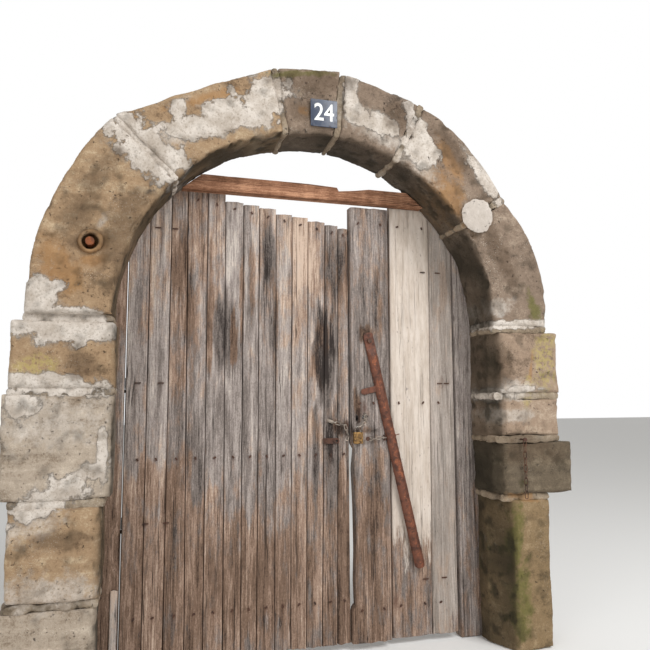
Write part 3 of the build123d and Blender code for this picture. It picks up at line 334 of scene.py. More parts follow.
def stone_grain(name):
    """Mottled, pitted and speckled stone."""
    colors = {"Light": "Color", "Middle": "Color", "Dark": "Color"}
    group, asked = shader_group(name, colors, {"Speckle": 0.5, "Bands": 0.2})
    place = asked["Vector"]
    clouds = grains(group, place, 4.0, 7.0, 0.66)
    mottle = grains(group, place, 28.0, 8.0, 0.74)
    grit = grains(group, place, 190.0, 5.0, 0.75)
    strata = streaky(group, place, 2.0, 26.0, 5.0, 0.6)
    banding = sums(group, "MULTIPLY", sums(group, "SUBTRACT", strata, 0.5), asked["Bands"])
    tone = sums(group, "ADD", stacked(group, -0.12, (grit, 0.36), (mottle, 0.5), (clouds, 0.42)), banding)
    color = toned(group, tone, asked["Dark"], (0.36, 0.52, asked["Middle"]), (0.52, 0.68, asked["Light"]))
    specks = between(group, grains(group, place, 330.0, 2.0, 0.5), 0.62, 0.70)
    specks = sums(group, "MULTIPLY", specks, between(group, grains(group, place, 9.0, 3.0), 0.48, 0.62))
    color = blended(group, sums(group, "MULTIPLY", specks, asked["Speckle"]), color, tint(226, 218, 204))
    pits = between(group, grains(group, place, 80.0, 5.0, 0.65), 0.37, 0.30)
    color = blended(group, sums(group, "MULTIPLY", pits, 0.7), color, tint(52, 44, 38))
    height = stacked(group, 0.0, (pits, -0.5), (grit, 0.30), (mottle, 0.55))
    put(group, "NodeGroupOutput", Color=color, Height=height)
    return group


def lime_grain(name):
    """Trowelled lime mortar, chalky and cracked."""
    group, asked = shader_group(name)
    place = asked["Vector"]
    clouds = grains(group, place, 14.0, 6.0, 0.65)
    grit = grains(group, place, 130.0, 5.0, 0.7)
    color = toned(group, clouds, tint(178, 166, 153), (0.32, 0.66, tint(217, 208, 198)))
    gritty = sums(group, "MULTIPLY", between(group, grit, 0.50, 0.34), 0.7)
    color = blended(group, gritty, color, tint(154, 141, 126))
    put(group, "NodeGroupOutput", Color=color, Height=stacked(group, 0.0, (grit, 0.35), (clouds, 0.6)))
    return group


def wood_grain(name):
    """Weathered timber with its grain along Z: streaks, fibres and drying checks."""
    group, asked = shader_group(name, defaults={"Tone": 0.5, "Warmth": 0.4, "Darkness": 0.0, "Rust": 0.0})
    place = asked["Vector"]
    streaks = streaky(group, place, 34.0, 1.6, 6.0, 0.66)
    bands = streaky(group, place, 120.0, 5.0, 5.0, 0.68)
    fibres = streaky(group, place, 300.0, 20.0, 5.0, 0.75)
    hairs = streaky(group, place, 760.0, 60.0, 3.0, 0.6)
    blotches = streaky(group, place, 26.0, 8.0, 6.0, 0.7)
    grit = streaky(group, place, 210.0, 130.0, 4.0, 0.7)
    tone = swayed(
        group, asked["Tone"], (bands, 0.90), (streaks, 0.90), (fibres, 0.90), (hairs, 0.30), (blotches, 0.55),
        (grit, 0.55),
    )
    # Darkness of the marks sinks into the bands: soaked stains, and painted shade where a mark stands for it
    soak_and_shade = sums(group, "MULTIPLY", asked["Darkness"], between(group, bands, 0.20, 0.56))
    tone = stacked(group, tone, (soak_and_shade, -0.52))
    grey = toned(
        group, tone, tint(52, 45, 42), (0.06, 0.42, tint(125, 115, 109)), (0.40, 0.62, tint(163, 152, 146)),
        (0.60, 0.90, tint(205, 194, 184)),
    )
    warm = toned(
        group, tone, tint(56, 42, 34), (0.06, 0.42, tint(122, 99, 83)), (0.40, 0.62, tint(160, 135, 118)),
        (0.60, 0.90, tint(206, 183, 164)),
    )
    reach = swayed(group, asked["Warmth"], (blotches, 1.8), (fibres, 0.3))
    color = toned(group, reach, grey, (0.28, 0.66, warm))
    # Drying checks lie where a slow noise crosses one value, in some places only
    crossing = sums(group, "SUBTRACT", streaky(group, place, 62.0, 0.8, 2.5, 0.5), 0.47)
    checks = between(group, sums(group, "ABSOLUTE", crossing), 0.010, 0.003)
    checks = sums(group, "MULTIPLY", checks, between(group, streaky(group, place, 20.0, 2.2, 2.0), 0.44, 0.56))
    color = blended(group, sums(group, "MULTIPLY", checks, 0.8), color, tint(40, 31, 26))
    bleed = sums(group, "MULTIPLY", asked["Rust"], between(group, fibres, 0.20, 0.55))
    color = blended(group, sums(group, "MULTIPLY", bleed, 0.8), color, tint(84, 50, 34))
    height = stacked(group, 0.0, (checks, -0.9), (hairs, 0.22), (fibres, 0.5), (bands, 0.5))
    put(group, "NodeGroupOutput", Color=color, Height=height)
    return group


def rust_bloom(name):
    """Rusted iron: dark scale, brown body, orange bloom with painted glints on it, pitted."""
    colors = {"Scale Color": "Color", "Body": "Color", "Bloom": "Color"}
    group, asked = shader_group(name, colors, {"Bloom Reach": 0.0}, ("Height", "Roughness"))
    place = asked["Vector"]
    clouds = grains(group, place, 38.0, 5.0, 0.65)
    grit = grains(group, place, 380.0, 5.0, 0.7)
    flakes = grains(group, place, 120.0, 5.0, 0.6)
    bloom = stacked(group, asked["Bloom Reach"], (clouds, 0.4), (flakes, 0.7))
    color = toned(group, clouds, asked["Scale Color"], (0.34, 0.58, asked["Body"]))
    color = toned(group, bloom, color, (0.64, 0.86, asked["Bloom"]))
    color = toned(group, grit, color, (0.42, 0.28, tint(38, 22, 17)))
    # Painted glints: bright specks on the strong bloom that stand in for highlights
    painted_glints = between(group, grains(group, place, 210.0, 3.0, 0.6), 0.60, 0.68)
    painted_glints = sums(group, "MULTIPLY", painted_glints, between(group, bloom, 0.60, 0.78))
    color = blended(group, sums(group, "MULTIPLY", painted_glints, 0.6), color, tint(206, 132, 88))
    height = stacked(group, 0.0, (grit, 0.5), (flakes, 0.6))
    roughness = between(group, grit, 0.2, 0.7, 0.85, 0.50)
    put(group, "NodeGroupOutput", Color=color, Height=height, Roughness=roughness)
    return group


def new_material(name):
    """New material, its node tree and the place that its textures follow."""
    material = bpy.data.materials.new(name)
    material.use_nodes = True
    tree = material.node_tree
    return material, tree, put(tree, "ShaderNodeTexCoord").outputs["Object"]


def coat_shader(tree, color, height=None, distance=0.0, **sockets):
    """Gives the shader its colour, its other sockets and, from a height, its relief."""
    shader = feed(tree.nodes["Principled BSDF"], Base_Color=color, **sockets)
    if height is not None:
        feed(shader, Normal=put(tree, "ShaderNodeBump", Height=height, Distance=distance).outputs[0])


def put_group(tree, name, build, **sockets):
    return put(tree, "ShaderNodeGroup", {"node_tree": shared(name, build)}, **sockets)


def make_stone(name, light, middle, dark, speckle=0.5, bands=0.2):
    """Dressed stone with painted-on lime, stains, moss and lichen."""
    material, tree, place = new_material(name)
    face = put_group(
        tree, "Stone grain", stone_grain, Vector=place, Light=tint(*light), Middle=tint(*middle), Dark=tint(*dark),
        Speckle=speckle, Bands=bands,
    )
    lime = put_group(tree, "Lime grain", lime_grain, Vector=place)
    wander = swayed(tree, 0.0, (grains(tree, place, 44.0, 8.0, 0.78), 1.1), (grains(tree, place, 9.0, 3.0), 0.8))

    def coated(color, kind, wandering, start, full, strength, coat):
        """Colour under one more coat, whose rim wanders round its painted mask."""
        reach = stacked(tree, painted(tree, kind), (wander, wandering))
        return blended(tree, sums(tree, "MULTIPLY", between(tree, reach, start, full), strength), color, coat)

    rusty = blended(tree, grains(tree, place, 18.0), tint(138, 98, 60), tint(184, 144, 98))
    mossy = blended(tree, grains(tree, place, 120.0, 6.0, 0.7), tint(66, 68, 34), tint(128, 124, 66))
    spots = between(tree, grains(tree, place, 70.0, 5.0, 0.6), 0.40, 0.56)
    color = coated(face.outputs["Color"], "ochre", 1.6, 0.20, 1.10, 0.75, rusty)
    color = coated(color, "moss", 1.5, 0.35, 1.00, 0.8, mossy)
    color = coated(color, "lichen", 1.0, 0.10, 0.90, sums(tree, "MULTIPLY", spots, 0.6), tint(184, 168, 104))
    color = coated(color, "film", 2.0, 0.20, 1.20, 0.70, lime.outputs["Color"])
    reach = stacked(tree, painted(tree, "lime"), (wander, 1.3))
    softness = between(tree, grains(tree, place, 6.0, 2.0), 0.42, 0.58)
    limed = sums(tree, "MULTIPLY", between(tree, reach, 0.20, 0.95), softness)
    limed = sums(tree, "MAXIMUM", limed, between(tree, reach, 0.42, 0.62))
    color = blended(tree, limed, color, lime.outputs["Color"])
    color = coated(color, "soot", 1.3, 0.10, 1.10, 0.55, tint(84, 66, 50))
    # Painted shade, with grime, from the shade mask: soffit, reveals, chips and the dips of the pointing
    color = blended(tree, sums(tree, "MULTIPLY", painted(tree, "shade"), 0.88), color, tint(42, 38, 28))
    height = put(tree, "ShaderNodeMix", n0=limed, n2=face.outputs["Height"], n3=lime.outputs["Height"]).outputs[0]
    height = stacked(tree, height, (limed, 0.4))
    coat_shader(tree, color, height, 0.009, Roughness=0.92, Specular_IOR_Level=0.25)
    return material


def make_wood(name, along_x=False, paint=0.0, stain=None):
    """Bare weathered wood; paint leaves the chalky remains of a cream coat, stain warms the whole timber."""
    material, tree, place = new_material(name)
    if along_x:
        turned = put(tree, "ShaderNodeSeparateXYZ", Vector=place).outputs
        place = put(tree, "ShaderNodeCombineXYZ", X=turned["Z"], Y=turned["Y"], Z=turned["X"]).outputs[0]
    seed = painted(tree, "seed")
    shift = put(
        tree, "ShaderNodeCombineXYZ", X=sums(tree, "MULTIPLY", seed, 3.7), Y=seed, Z=sums(tree, "MULTIPLY", seed, 7.3),
    )
    place = put(tree, "ShaderNodeVectorMath", {"operation": "ADD"}, n0=place, n1=shift.outputs[0]).outputs[0]
    wood = put_group(
        tree, "Wood grain", wood_grain, Vector=place, Tone=painted(tree, "tone"), Warmth=painted(tree, "warmth"),
        Darkness=painted(tree, "darkness"), Rust=painted(tree, "rust"),
    )
    color, height = wood.outputs["Color"], wood.outputs["Height"]
    if stain:
        color = blended(tree, 1.0, color, tint(*stain), "MULTIPLY")
    if paint:
        flakes = streaky(tree, place, 60.0, 9.0, 6.0, 0.72)
        fine = streaky(tree, place, 330.0, 26.0, 4.0, 0.7)
        left = swayed(tree, painted(tree, "paint"), (flakes, 1.1), (fine, 0.9))
        cover = sums(tree, "MULTIPLY", between(tree, left, 0.34, 0.62), paint)
        chalk = toned(tree, flakes, tint(200, 185, 170), (0.30, 0.68, tint(228, 216, 204)))
        pocks = between(tree, streaky(tree, place, 150.0, 46.0, 4.0, 0.6), 0.36, 0.30)
        cover = sums(tree, "MULTIPLY", cover, stacked(tree, 1.0, (pocks, -0.8)))
        color = blended(tree, cover, color, chalk)
        height = stacked(tree, height, (cover, 0.12))
    coat_shader(tree, color, height, 0.0030, Roughness=0.86, Specular_IOR_Level=0.22)
    return material


def make_rust(name, scale_color, body, bloom, reach=0.0, depth=0.0008):
    """Rusted iron; reach spreads the bloom, and so does the crown mask painted on a piece: on the locking bar a painted
    highlight along its front crown, with patches of bloom.
    """
    material, tree, place = new_material(name)
    rust = put_group(
        tree, "Rust bloom", rust_bloom, Vector=place, Scale_Color=tint(*scale_color), Body=tint(*body),
        Bloom=tint(*bloom), Bloom_Reach=stacked(tree, reach, (painted(tree, "crown"), 0.22)),
    ).outputs
    coat_shader(tree, rust["Color"], rust["Height"], depth, Roughness=rust["Roughness"], Metallic=0.25)
    return material


def make_metal(name, clean, tarnish, roughness, metallic=0.85):
    """Bare metal under patches of tarnish."""
    material, tree, place = new_material(name)
    clouds = grains(tree, place, 110.0, 5.0, 0.65)
    scratches = streaky(tree, place, 200.0, 1600.0, 3.0)
    dull = between(tree, clouds, 0.38, 0.62)
    coat_shader(
        tree, blended(tree, dull, tint(*clean), tint(*tarnish)),
        stacked(tree, 0.0, (scratches, 0.2), (clouds, 0.7)), 0.0004,
        Roughness=between(tree, dull, 0.0, 1.0, roughness, 0.85),
        Metallic=between(tree, dull, 0.0, 1.0, metallic, 0.35),
    )
    return material


def make_enamel(name, color, chip_reach):
    """Glassy enamel with chips down to rusty iron and a film of lime dust."""
    material, tree, place = new_material(name)
    chips = between(tree, grains(tree, place, 95.0, 5.0, 0.6), chip_reach, chip_reach + 0.03)
    dust = between(tree, grains(tree, place, 30.0, 6.0, 0.7), 0.46, 0.72)
    coat = blended(tree, sums(tree, "MULTIPLY", dust, 0.28), tint(*color), tint(168, 160, 150))
    dulled = between(tree, sums(tree, "MAXIMUM", chips, dust), 0.0, 1.0, 0.28, 0.8)
    color = blended(tree, chips, coat, tint(74, 44, 30))
    coat_shader(tree, color, sums(tree, "MULTIPLY", chips, -1.0), 0.0005, Roughness=dulled)
    return material


def board_finish():
    """The bare wood that the boards and the posts share."""
    name = "weathered_boards"
    return bpy.data.materials.get(name) or make_wood(name)


# Mesh parts


def link_object(name, mesh):
    piece = bpy.data.objects.new(name, mesh)
    bpy.context.scene.collection.objects.link(piece)
    return piece


def baked(piece):
    """Replaces a piece's mesh by its evaluated one and drops its modifiers."""
    graph = bpy.context.evaluated_depsgraph_get()
    mesh = bpy.data.meshes.new_from_object(piece.evaluated_get(graph))
    piece.modifiers.clear()
    piece.data = mesh
    return piece


def joined_shell(node):
    """Copy of a CAD node's mesh with its loose triangles joined."""
    shell = bmesh.new()
    shell.from_mesh(frame["nodes"][node].data)
    bmesh.ops.remove_doubles(shell, verts=shell.verts, dist=0.00002)
    return shell


def mesh_of(shell, name, sharp_above=None):
    """Mesh of a bmesh, which is freed; smooth with sharp edges above an angle in degrees, where one is given."""
    mesh = bpy.data.meshes.new(name)
    shell.to_mesh(mesh)
    shell.free()
    if sharp_above is not None:
        mesh.shade_smooth()
        mesh.set_sharp_from_angle(angle=math.radians(sharp_above))
    return mesh


def lofted(rings):
    """Closed bmesh through rings of corners, with a face over each end; the first ring may be a single corner."""
    shell = bmesh.new()
    rows = [[shell.verts.new(corner) for corner in ring] for ring in rings]
    for row, following in zip(rows, rows[1:]):
        for side in range(len(following)):
            turned = (side + 1) % len(following)
            start = (row[side], row[turned]) if len(row) > 1 else (row[0],)
            shell.faces.new((*start, following[turned], following[side]))
    if len(rows[0]) > 1:
        shell.faces.new(rows[0])
    shell.faces.new(rows[-1])
    bmesh.ops.recalc_face_normals(shell, faces=shell.faces)
    return shell


def bevelled(node, name, depths, offset, segments, sharp_above):
    """Mesh of a CAD node with the edges that lie at the given depths bevelled."""
    shell = joined_shell(node)
    bmesh.ops.dissolve_limit(shell, angle_limit=0.02, verts=shell.verts, edges=shell.edges)
    rim = [
        edge for edge in shell.edges
        if any(all(abs(corner.co.y - depth) < 0.0002 for corner in edge.verts) for depth in depths)
    ]
    bmesh.ops.bevel(shell, geom=rim, offset=offset, segments=segments, profile=0.5, affect="EDGES")
    return mesh_of(shell, name, sharp_above)


def finish_piece(piece, material, body, slot, *nodes):
    piece.data.materials.clear()
    piece.data.materials.append(material)
    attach(piece, body)
    if nodes:
        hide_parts(*nodes)
    return piece


def remeshed(name, node, voxel, smoothing):
    """Even mesh over a CAD node with its edges worn round."""
    piece = link_object(name, mesh_of(joined_shell(node), name))
    even = piece.modifiers.new("Even faces", "REMESH")
    even.mode = "VOXEL"
    even.voxel_size = voxel
    worn = piece.modifiers.new("Worn edges", "SMOOTH")
    worn.factor = 0.5
    worn.iterations = smoothing
    baked(piece)
    piece.data.shade_smooth()
    return piece


def read_points(mesh):
    places = np.empty(len(mesh.vertices) * 3)
    normals = np.empty(len(mesh.vertices) * 3)
    mesh.vertices.foreach_get("co", places)
    mesh.vertices.foreach_get("normal", normals)
    return places.reshape(-1, 3), normals.reshape(-1, 3)


def write_points(mesh, places):
    mesh.vertices.foreach_set("co", places.astype(np.float32).ravel())
    mesh.update()


def paint(mesh, name, values):
    layer = mesh.attributes.new(name, "FLOAT", "POINT")
    layer.data.foreach_set("value", np.asarray(values, dtype=np.float32))


def rough_field(places, scale, octaves, seed):
    """Fractal noise at each place, near -1 to 1; scale is a number or one for each axis."""
    scaled = places * scale + seed * 11.3
    return np.array([noise.fractal(Vector(place), 0.9, 2.1, octaves) for place in scaled])


def ellipse_depth(places, across, height, half_length, half_width, turn=0.0):
    """Distance from the middle of an ellipse on the wall face, 1 on its rim."""
    cos_turn, sin_turn = math.cos(math.radians(turn)), math.sin(math.radians(turn))
    dx, dz = places[:, 0] - across, places[:, 2] - height
    return np.hypot((dx * cos_turn + dz * sin_turn) / half_length, (dz * cos_turn - dx * sin_turn) / half_width)


def patch_masks(places, normals, fray):
    """How much lime, film, stain, moss, lichen and soot lies at each place of a stone or joint."""
    facing_out = np.minimum(1.0, np.clip(0.45 - normals[:, 1], 0.0, 1.0) * 1.6)
    masks = {}
    for kind, patches in STONE_PATCHES.items():
        masks[kind] = np.zeros(len(places))
        for across, height, half_length, half_width, turn in patches:
            rim = ellipse_depth(places, across, height, half_length, half_width, turn)
            mark = np.clip(1.55 - rim + 0.5 * fray, 0.0, 1.0)
            masks[kind] = np.maximum(masks[kind], mark * facing_out)
    return masks


def slow_swell(places, swell):
    """The slow unevenness that stones and pointing share, and the depth that it takes off."""
    slow = rough_field(places, 5.0, 3, SLOW_SEED)
    return slow, swell * np.clip(0.5 + 0.9 * slow, 0.0, 1.3)


def hollowed(places, normals, quick, stub):
    """Depth of the worn hollows and of the crumbled rim round the iron stub, on the front of a stone."""
    in_front = np.clip(-normals[:, 1], 0.0, 1.0)
    depth = np.zeros(len(places))
    for across, height, half_width, half_height, hollow in HOLLOWS + ((stub.x, stub.z, *STUB_HOLLOW),):
        rim = ellipse_depth(places, across, height, half_width, half_height) * (1.0 + 0.5 * quick)
        depth += hollow * np.exp(-rim ** 2) * in_front
    from_stub = np.hypot(places[:, 0] - stub.x, places[:, 2] - stub.z)
    crumbled = np.exp(-((from_stub - STUB_RIM) / 0.010) ** 2) * np.clip(0.45 + 1.8 * quick, 0.0, 1.0)
    return depth + 0.010 * crumbled * in_front


def arch_distance(places):
    """Distance from the middle line of the doorway and, above the springing, from the centre of the arch."""
    return np.hypot(places[:, 0], np.clip(places[:, 2] - SPRINGING, 0.0, None))


def chipped_arris(places, quick):
    """Depth of the chips along the front arris of the arch."""
    near = np.exp(-((arch_distance(places) - ARRIS_RADIUS) / 0.03) ** 2)
    in_front = np.clip((REVEAL_START - places[:, 1]) / 0.03, 0.0, 1.0)
    return 0.012 * near * in_front * np.clip(0.3 + quick, 0.0, 1.0) * (places[:, 2] > SPRINGING)


def stone_shade(places, normals, slow, quick):
    """Painted shade, with grime, in the chips and on the soffit and the reveals."""
    radius = arch_distance(places)
    above = places[:, 2] > SPRINGING
    towards_x = np.where(above, -places[:, 0] / radius, -np.sign(places[:, 0]))
    towards_z = np.where(above, -(places[:, 2] - SPRINGING) / radius, 0.0)
    inner = np.clip(normals[:, 0] * towards_x + normals[:, 2] * towards_z, 0.0, 1.0)
    reached = np.clip(1.0 - (REVEAL_START - places[:, 1]) / 0.06, 0.25, 1.0)
    grime_and_shade = 0.85 * inner * reached * (radius < GRIME_AND_SHADE_RADIUS)
    cavity_grime_and_shade = np.clip(quick * 0.8 - 0.12, 0.0, 0.5)
    return np.clip(cavity_grime_and_shade + grime_and_shade * (1.0 + 0.4 * slow), 0.0, 1.0)


def node_islands(node):
    """Separate solids of a CAD node, each as an array of its corners."""
    shell = joined_shell(node)
    shell.verts.ensure_lookup_table()
    seen, islands = set(), []
    for start in shell.verts:
        if start.index in seen:
            continue
        seen.add(start.index)
        queue, found = [start], []
        while queue:
            corner = queue.pop()
            found.append(tuple(corner.co))
            for edge in corner.link_edges:
                other = edge.other_vert(corner)
                if other.index not in seen:
                    seen.add(other.index)
                    queue.append(other)
        islands.append(np.array(found))
    shell.free()
    return islands


def nail_heads(node):
    """Place on the front of each nail of a node, across and up."""
    heads = []
    for island in node_islands(node):
        front = island[island[:, 1] < island[:, 1].min() + 0.0005]
        heads.append((front[:, 0].mean(), front[:, 2].mean()))
    return heads


def section_limits(node, axis, stations):
    """Least and greatest place of a CAD node's cross-section at each station along an axis."""
    mesh = frame["nodes"][node].data
    corners, _ = read_points(mesh)
    edges = np.empty(len(mesh.edges) * 2, dtype=int)
    mesh.edges.foreach_get("vertices", edges)
    first, second = corners[edges[0::2]], corners[edges[1::2]]
    other = 2 - axis
    limits = []
    for station in stations:
        before, after = first[:, axis] - station, second[:, axis] - station
        hit = before * after < 0
        share = before[hit] / (before[hit] - after[hit])
        crossing = first[hit, other] + share * (second[hit, other] - first[hit, other])
        limits.append((crossing.min(), crossing.max()))
    return limits


def noise_at(*place):
    """Noise at a place, near -1 to 1."""
    return noise.noise(Vector(place))


def half_noise(*place):
    """Noise at a place, from 0 to 1."""
    return 0.5 + 0.5 * noise_at(*place)


def edge_bite(seed, side, station, nibble, width):
    """How deep the edge of a board is bitten at a station; side keeps its two edges apart."""
    slow = noise_at(seed + side, station * 4.0, 1.7)
    quick = noise_at(seed + side, station * 21.0, 8.1)
    strength = 0.6 + 0.9 * noise_at(seed, side, 4.0)
    return min(0.0003 + nibble * (0.35 * max(0.0, slow) + max(0.0, quick - 0.25)) * strength, width * 0.2)


def timber(name, node, axis, wear, seed, ragged=(0.006, 0.006), spacing=0.012, nibble=0.003, meet=0.0):
    """Lofts a worn timber over a CAD node along an axis; meet closes the seams at the back."""
    low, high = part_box(node)
    start, stop = low[axis], high[axis]
    rows = max(6, int((stop - start) / spacing))
    inset = (stop - start) * 0.0008
    stations = [start + inset + (stop - start - 2 * inset) * row / rows for row in range(rows + 1)]
    depth = high.y - low.y
    rings = []
    for row, (least, greatest) in enumerate(section_limits(node, axis, stations)):
        share = row / rows
        bites = [edge_bite(seed, side, stations[row], nibble, greatest - least) for side in (0.0, 23.0)]
        ring = []
        for across, into in TIMBER_RING:
            in_front = into < 0.5
            reach = meet if into > 0.9 else 0.0
            first = least - reach + (bites[0] if in_front else 0.0)
            last = greatest + reach - (bites[1] if in_front else 0.0)
            crosswise = first + (last - first) * across
            torn = [
                amount * half_noise(crosswise * 70.0, seed * 3.1 + end * 9.0, 0.3) for end, amount in enumerate(ragged)
            ]
            along = stations[row] + torn[0] * (1 - share) - torn[1] * share
            grain = half_noise(crosswise * 110.0, seed, along * 2.2)
            sweep = half_noise(crosswise * 30.0, seed + 5.0, along * 1.1)
            worn = wear * (0.55 * grain + 0.45 * sweep) + wear * 0.5 * (2 * across - 1) ** 2
            y = low.y + into * depth + (worn if in_front else -0.4 * worn * into)
            ring.append((crosswise, y, along) if axis == 2 else (along, y, crosswise))
        rings.append(ring)
    return link_object(name, mesh_of(lofted(rings), name, sharp_above=50))


def weather_wood(piece, tone, warm_head, warm_foot, seed, heads=(), painted_above=None):
    """Paints tone, warmth, soaked marks and painted shade, rust and paint onto a timber."""
    places, _ = read_points(piece.data)
    height = places[:, 2]
    drift = rough_field(places, (30.0, 9.0, 2.6), 4, seed)
    foot = 1.0 / (1.0 + np.exp((height - DAMP_HEIGHT - 0.30 * drift) * 11.0))
    handled = np.exp(-((height - HAND_HEIGHT) / 0.28) ** 2)
    warmth = warm_head + (warm_foot - warm_head) * foot - 0.20 * handled
    darkness = np.zeros(len(places))
    feather = rough_field(places, (95.0, 9.0, 6.0), 3, seed + 0.4)
    in_front = (places[:, 1] < (places[:, 1].min() + places[:, 1].max()) / 2).astype(float)
    for across, middle, half_width, half_height, dark, warm in WOOD_MARKS:
        rim = ellipse_depth(places, across, middle, half_width, half_height)
        mark = np.clip(1.9 * (1.15 - rim + 0.35 * drift + 0.45 * feather), 0.0, 1.0) * in_front
        darkness = np.where(np.abs(mark * dark) > np.abs(darkness), mark * dark, darkness)
        warmth = warmth + (warm - warmth) * mark * 0.7
    rust = np.zeros(len(places))
    for across, middle in heads:
        below = np.clip(middle - height, 0.0, None)
        above = np.clip(height - middle, 0.0, None)
        trail = np.exp(-((places[:, 0] - across) / 0.0060) ** 2) * np.exp(-below / 0.022 - above / 0.005)
        rust = np.maximum(rust, 0.65 * trail)
    for across, middle, half_width, half_height in RUST_MARKS:
        rim = ellipse_depth(places, across, middle, half_width, half_height)
        rust = np.maximum(rust, np.clip(1.4 - rim, 0.0, 1.0))
    lighter = np.clip((height - LIGHT_HEIGHT) / 0.3, 0.0, 1.0)
    paint(piece.data, "tone", tone + 0.13 * drift - 0.11 * foot + 0.05 * lighter)
    paint(piece.data, "warmth", warmth)
    paint(piece.data, "darkness", np.clip(darkness, -0.6, 1.3))
    paint(piece.data, "rust", np.clip(rust * in_front, 0.0, 1.0))
    paint(piece.data, "seed", np.full(len(places), seed))
    if painted_above is not None:
        coat = np.clip((height - painted_above - 0.12 * drift) / 0.32, -0.6, 1.0)
        paint(piece.data, "paint", np.where(in_front > 0, coat, -0.6))


def cut_hole(piece, across, height, half_width, half_height, seed, sides=16):
    """Cuts a ragged hole from front to back."""
    low, high = Vector(piece.bound_box[0]), Vector(piece.bound_box[6])
    rings = []
    for y in (low.y - 0.01, high.y + 0.01):
        ring = []
        for side in range(sides):
            turn = 2 * math.pi * side / sides
            fray = 1.0 + 0.14 * noise_at(side * 1.9, seed, 0.5)
            ring.append((across + half_width * fray * math.cos(turn), y, height + half_height * fray * math.sin(turn)))
        rings.append(ring)
    cutter = link_object("hole_cutter", mesh_of(lofted(rings), "hole_cutter"))
    cut = piece.modifiers.new("Hole", "BOOLEAN")
    cut.operation = "DIFFERENCE"
    cut.solver = "EXACT"
    cut.object = cutter
    baked(piece)
    bpy.data.objects.remove(cutter)


def lay_board(node, body, material, settings, wear, seed, ragged, heads, painted_above=None):
    """Plank over its CAD board, weathered, rusted under its nails and holed for the chains that cross it."""
    piece = timber(f"plank_{node}", node, 2, wear, seed, ragged, nibble=settings.nibble, meet=BOARD_MEET)
    low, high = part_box(node)
    near = [head for head in heads if low.x < head[0] < high.x]
    weather_wood(piece, *BOARD_TONES[node], seed, near, painted_above)
    for across, height, wide, tall, hole_seed in CHAIN_HOLES[body]:
        if low.x < across + settings.hole and high.x > across - settings.hole:
            cut_hole(piece, across, height, settings.hole * wide, settings.hole * tall, hole_seed)
    finish_piece(piece, material, body, SLOTS[node], node)


def link_tree():
    """Geometry nodes that set an oval chain link on each point, turned by the point's own turn."""
    tree = bpy.data.node_groups.new("Chain links", "GeometryNodeTree")
    tree.interface.new_socket(name="Geometry", in_out="INPUT", socket_type="NodeSocketGeometry")
    for label, default in (("Length", 0.028), ("Width", 0.014), ("Wire", 0.0036)):
        socket = tree.interface.new_socket(name=label, in_out="INPUT", socket_type="NodeSocketFloat")
        socket.default_value = default
        socket.subtype = "DISTANCE"
    tree.interface.new_socket(name="Finish", in_out="INPUT", socket_type="NodeSocketMaterial")
    tree.interface.new_socket(name="Geometry", in_out="OUTPUT", socket_type="NodeSocketGeometry")
    size = tree.nodes.new("NodeGroupInput").outputs
    side = sums(tree, "MULTIPLY", sums(tree, "SUBTRACT", size["Width"], size["Wire"]), 0.5)
    straight = sums(tree, "MULTIPLY", sums(tree, "SUBTRACT", size["Length"], size["Width"]), 0.5)
    loop = put(tree, "GeometryNodeCurvePrimitiveCircle", Resolution=18, Radius=side)
    place = put(tree, "ShaderNodeSeparateXYZ", Vector=tree.nodes.new("GeometryNodeInputPosition").outputs[0])
    way = sums(tree, "SIGN", place.outputs["X"])
    shift = put(tree, "ShaderNodeCombineXYZ", X=sums(tree, "MULTIPLY", way, straight))
    drawn = put(tree, "GeometryNodeSetPosition", Geometry=loop.outputs["Curve"], Offset=shift.outputs[0])
    wire_radius = sums(tree, "MULTIPLY", size["Wire"], 0.5)
    section = put(tree, "GeometryNodeCurvePrimitiveCircle", Resolution=8, Radius=wire_radius)
    link = put(tree, "GeometryNodeCurveToMesh", Curve=drawn.outputs[0], Profile_Curve=section.outputs["Curve"])
    turn = put(tree, "GeometryNodeInputNamedAttribute", {"data_type": "QUATERNION"}, Name="turn")
    spread = put(
        tree, "GeometryNodeInstanceOnPoints", Points=size["Geometry"], Instance=link.outputs[0],
        Rotation=turn.outputs["Attribute"],
    )
    real = put(tree, "GeometryNodeRealizeInstances", Geometry=spread.outputs[0])
    smooth = put(tree, "GeometryNodeSetShadeSmooth", Geometry=real.outputs[0])
    dressed = put(tree, "GeometryNodeSetMaterial", Geometry=smooth.outputs[0], Material=size["Finish"])
    put(tree, "NodeGroupOutput", Geometry=dressed.outputs[0])
    return tree


def run_links(tree, name, points, turns, length, width, wire, material):
    """Plain mesh of the links of one length."""
    mesh = bpy.data.meshes.new(name)
    mesh.from_pydata([tuple(point) for point in points], [], [])
    layer = mesh.attributes.new("turn", "QUATERNION", "POINT")
    for item, turn in zip(layer.data, turns):
        item.value = turn
    piece = link_object(name, mesh)
    chain = piece.modifiers.new("Links", "NODES")
    chain.node_group = tree
    given = {"Length": length, "Width": width, "Wire": wire, "Finish": material}
    for item in tree.interface.items_tree:
        if item.in_out == "INPUT" and item.name in given:
            chain[item.identifier] = given[item.name]
    return baked(piece)


def merge_meshes(name, parts):
    """One object from several mesh objects."""
    shell = bmesh.new()
    for part in parts:
        shell.from_mesh(part.data)
        bpy.data.objects.remove(part)
    return link_object(name, mesh_of(shell, name, sharp_above=45))


def toggle(name, centre, axes, extents, sides=10, rows=12):
    """Short bar with dented middle and rounded ends that holds a chain behind a board."""
    turns = [2 * math.pi * side / sides for side in range(sides)]
    rings = []
    for row in range(rows + 1):
        share = row / rows
        along = extents[0] * (share - 0.5)
        end = min(share, 1 - share) / 0.12
        radius = extents[2] / 2 * (min(1.0, 0.55 + 0.45 * end) - 0.10 * math.sin(math.pi * share))
        rings.append([
            tuple(centre + axes @ np.array((along, radius * math.cos(turn), radius * math.sin(turn)))) for turn in turns
        ])
    return link_object(name, mesh_of(lofted(rings), name))


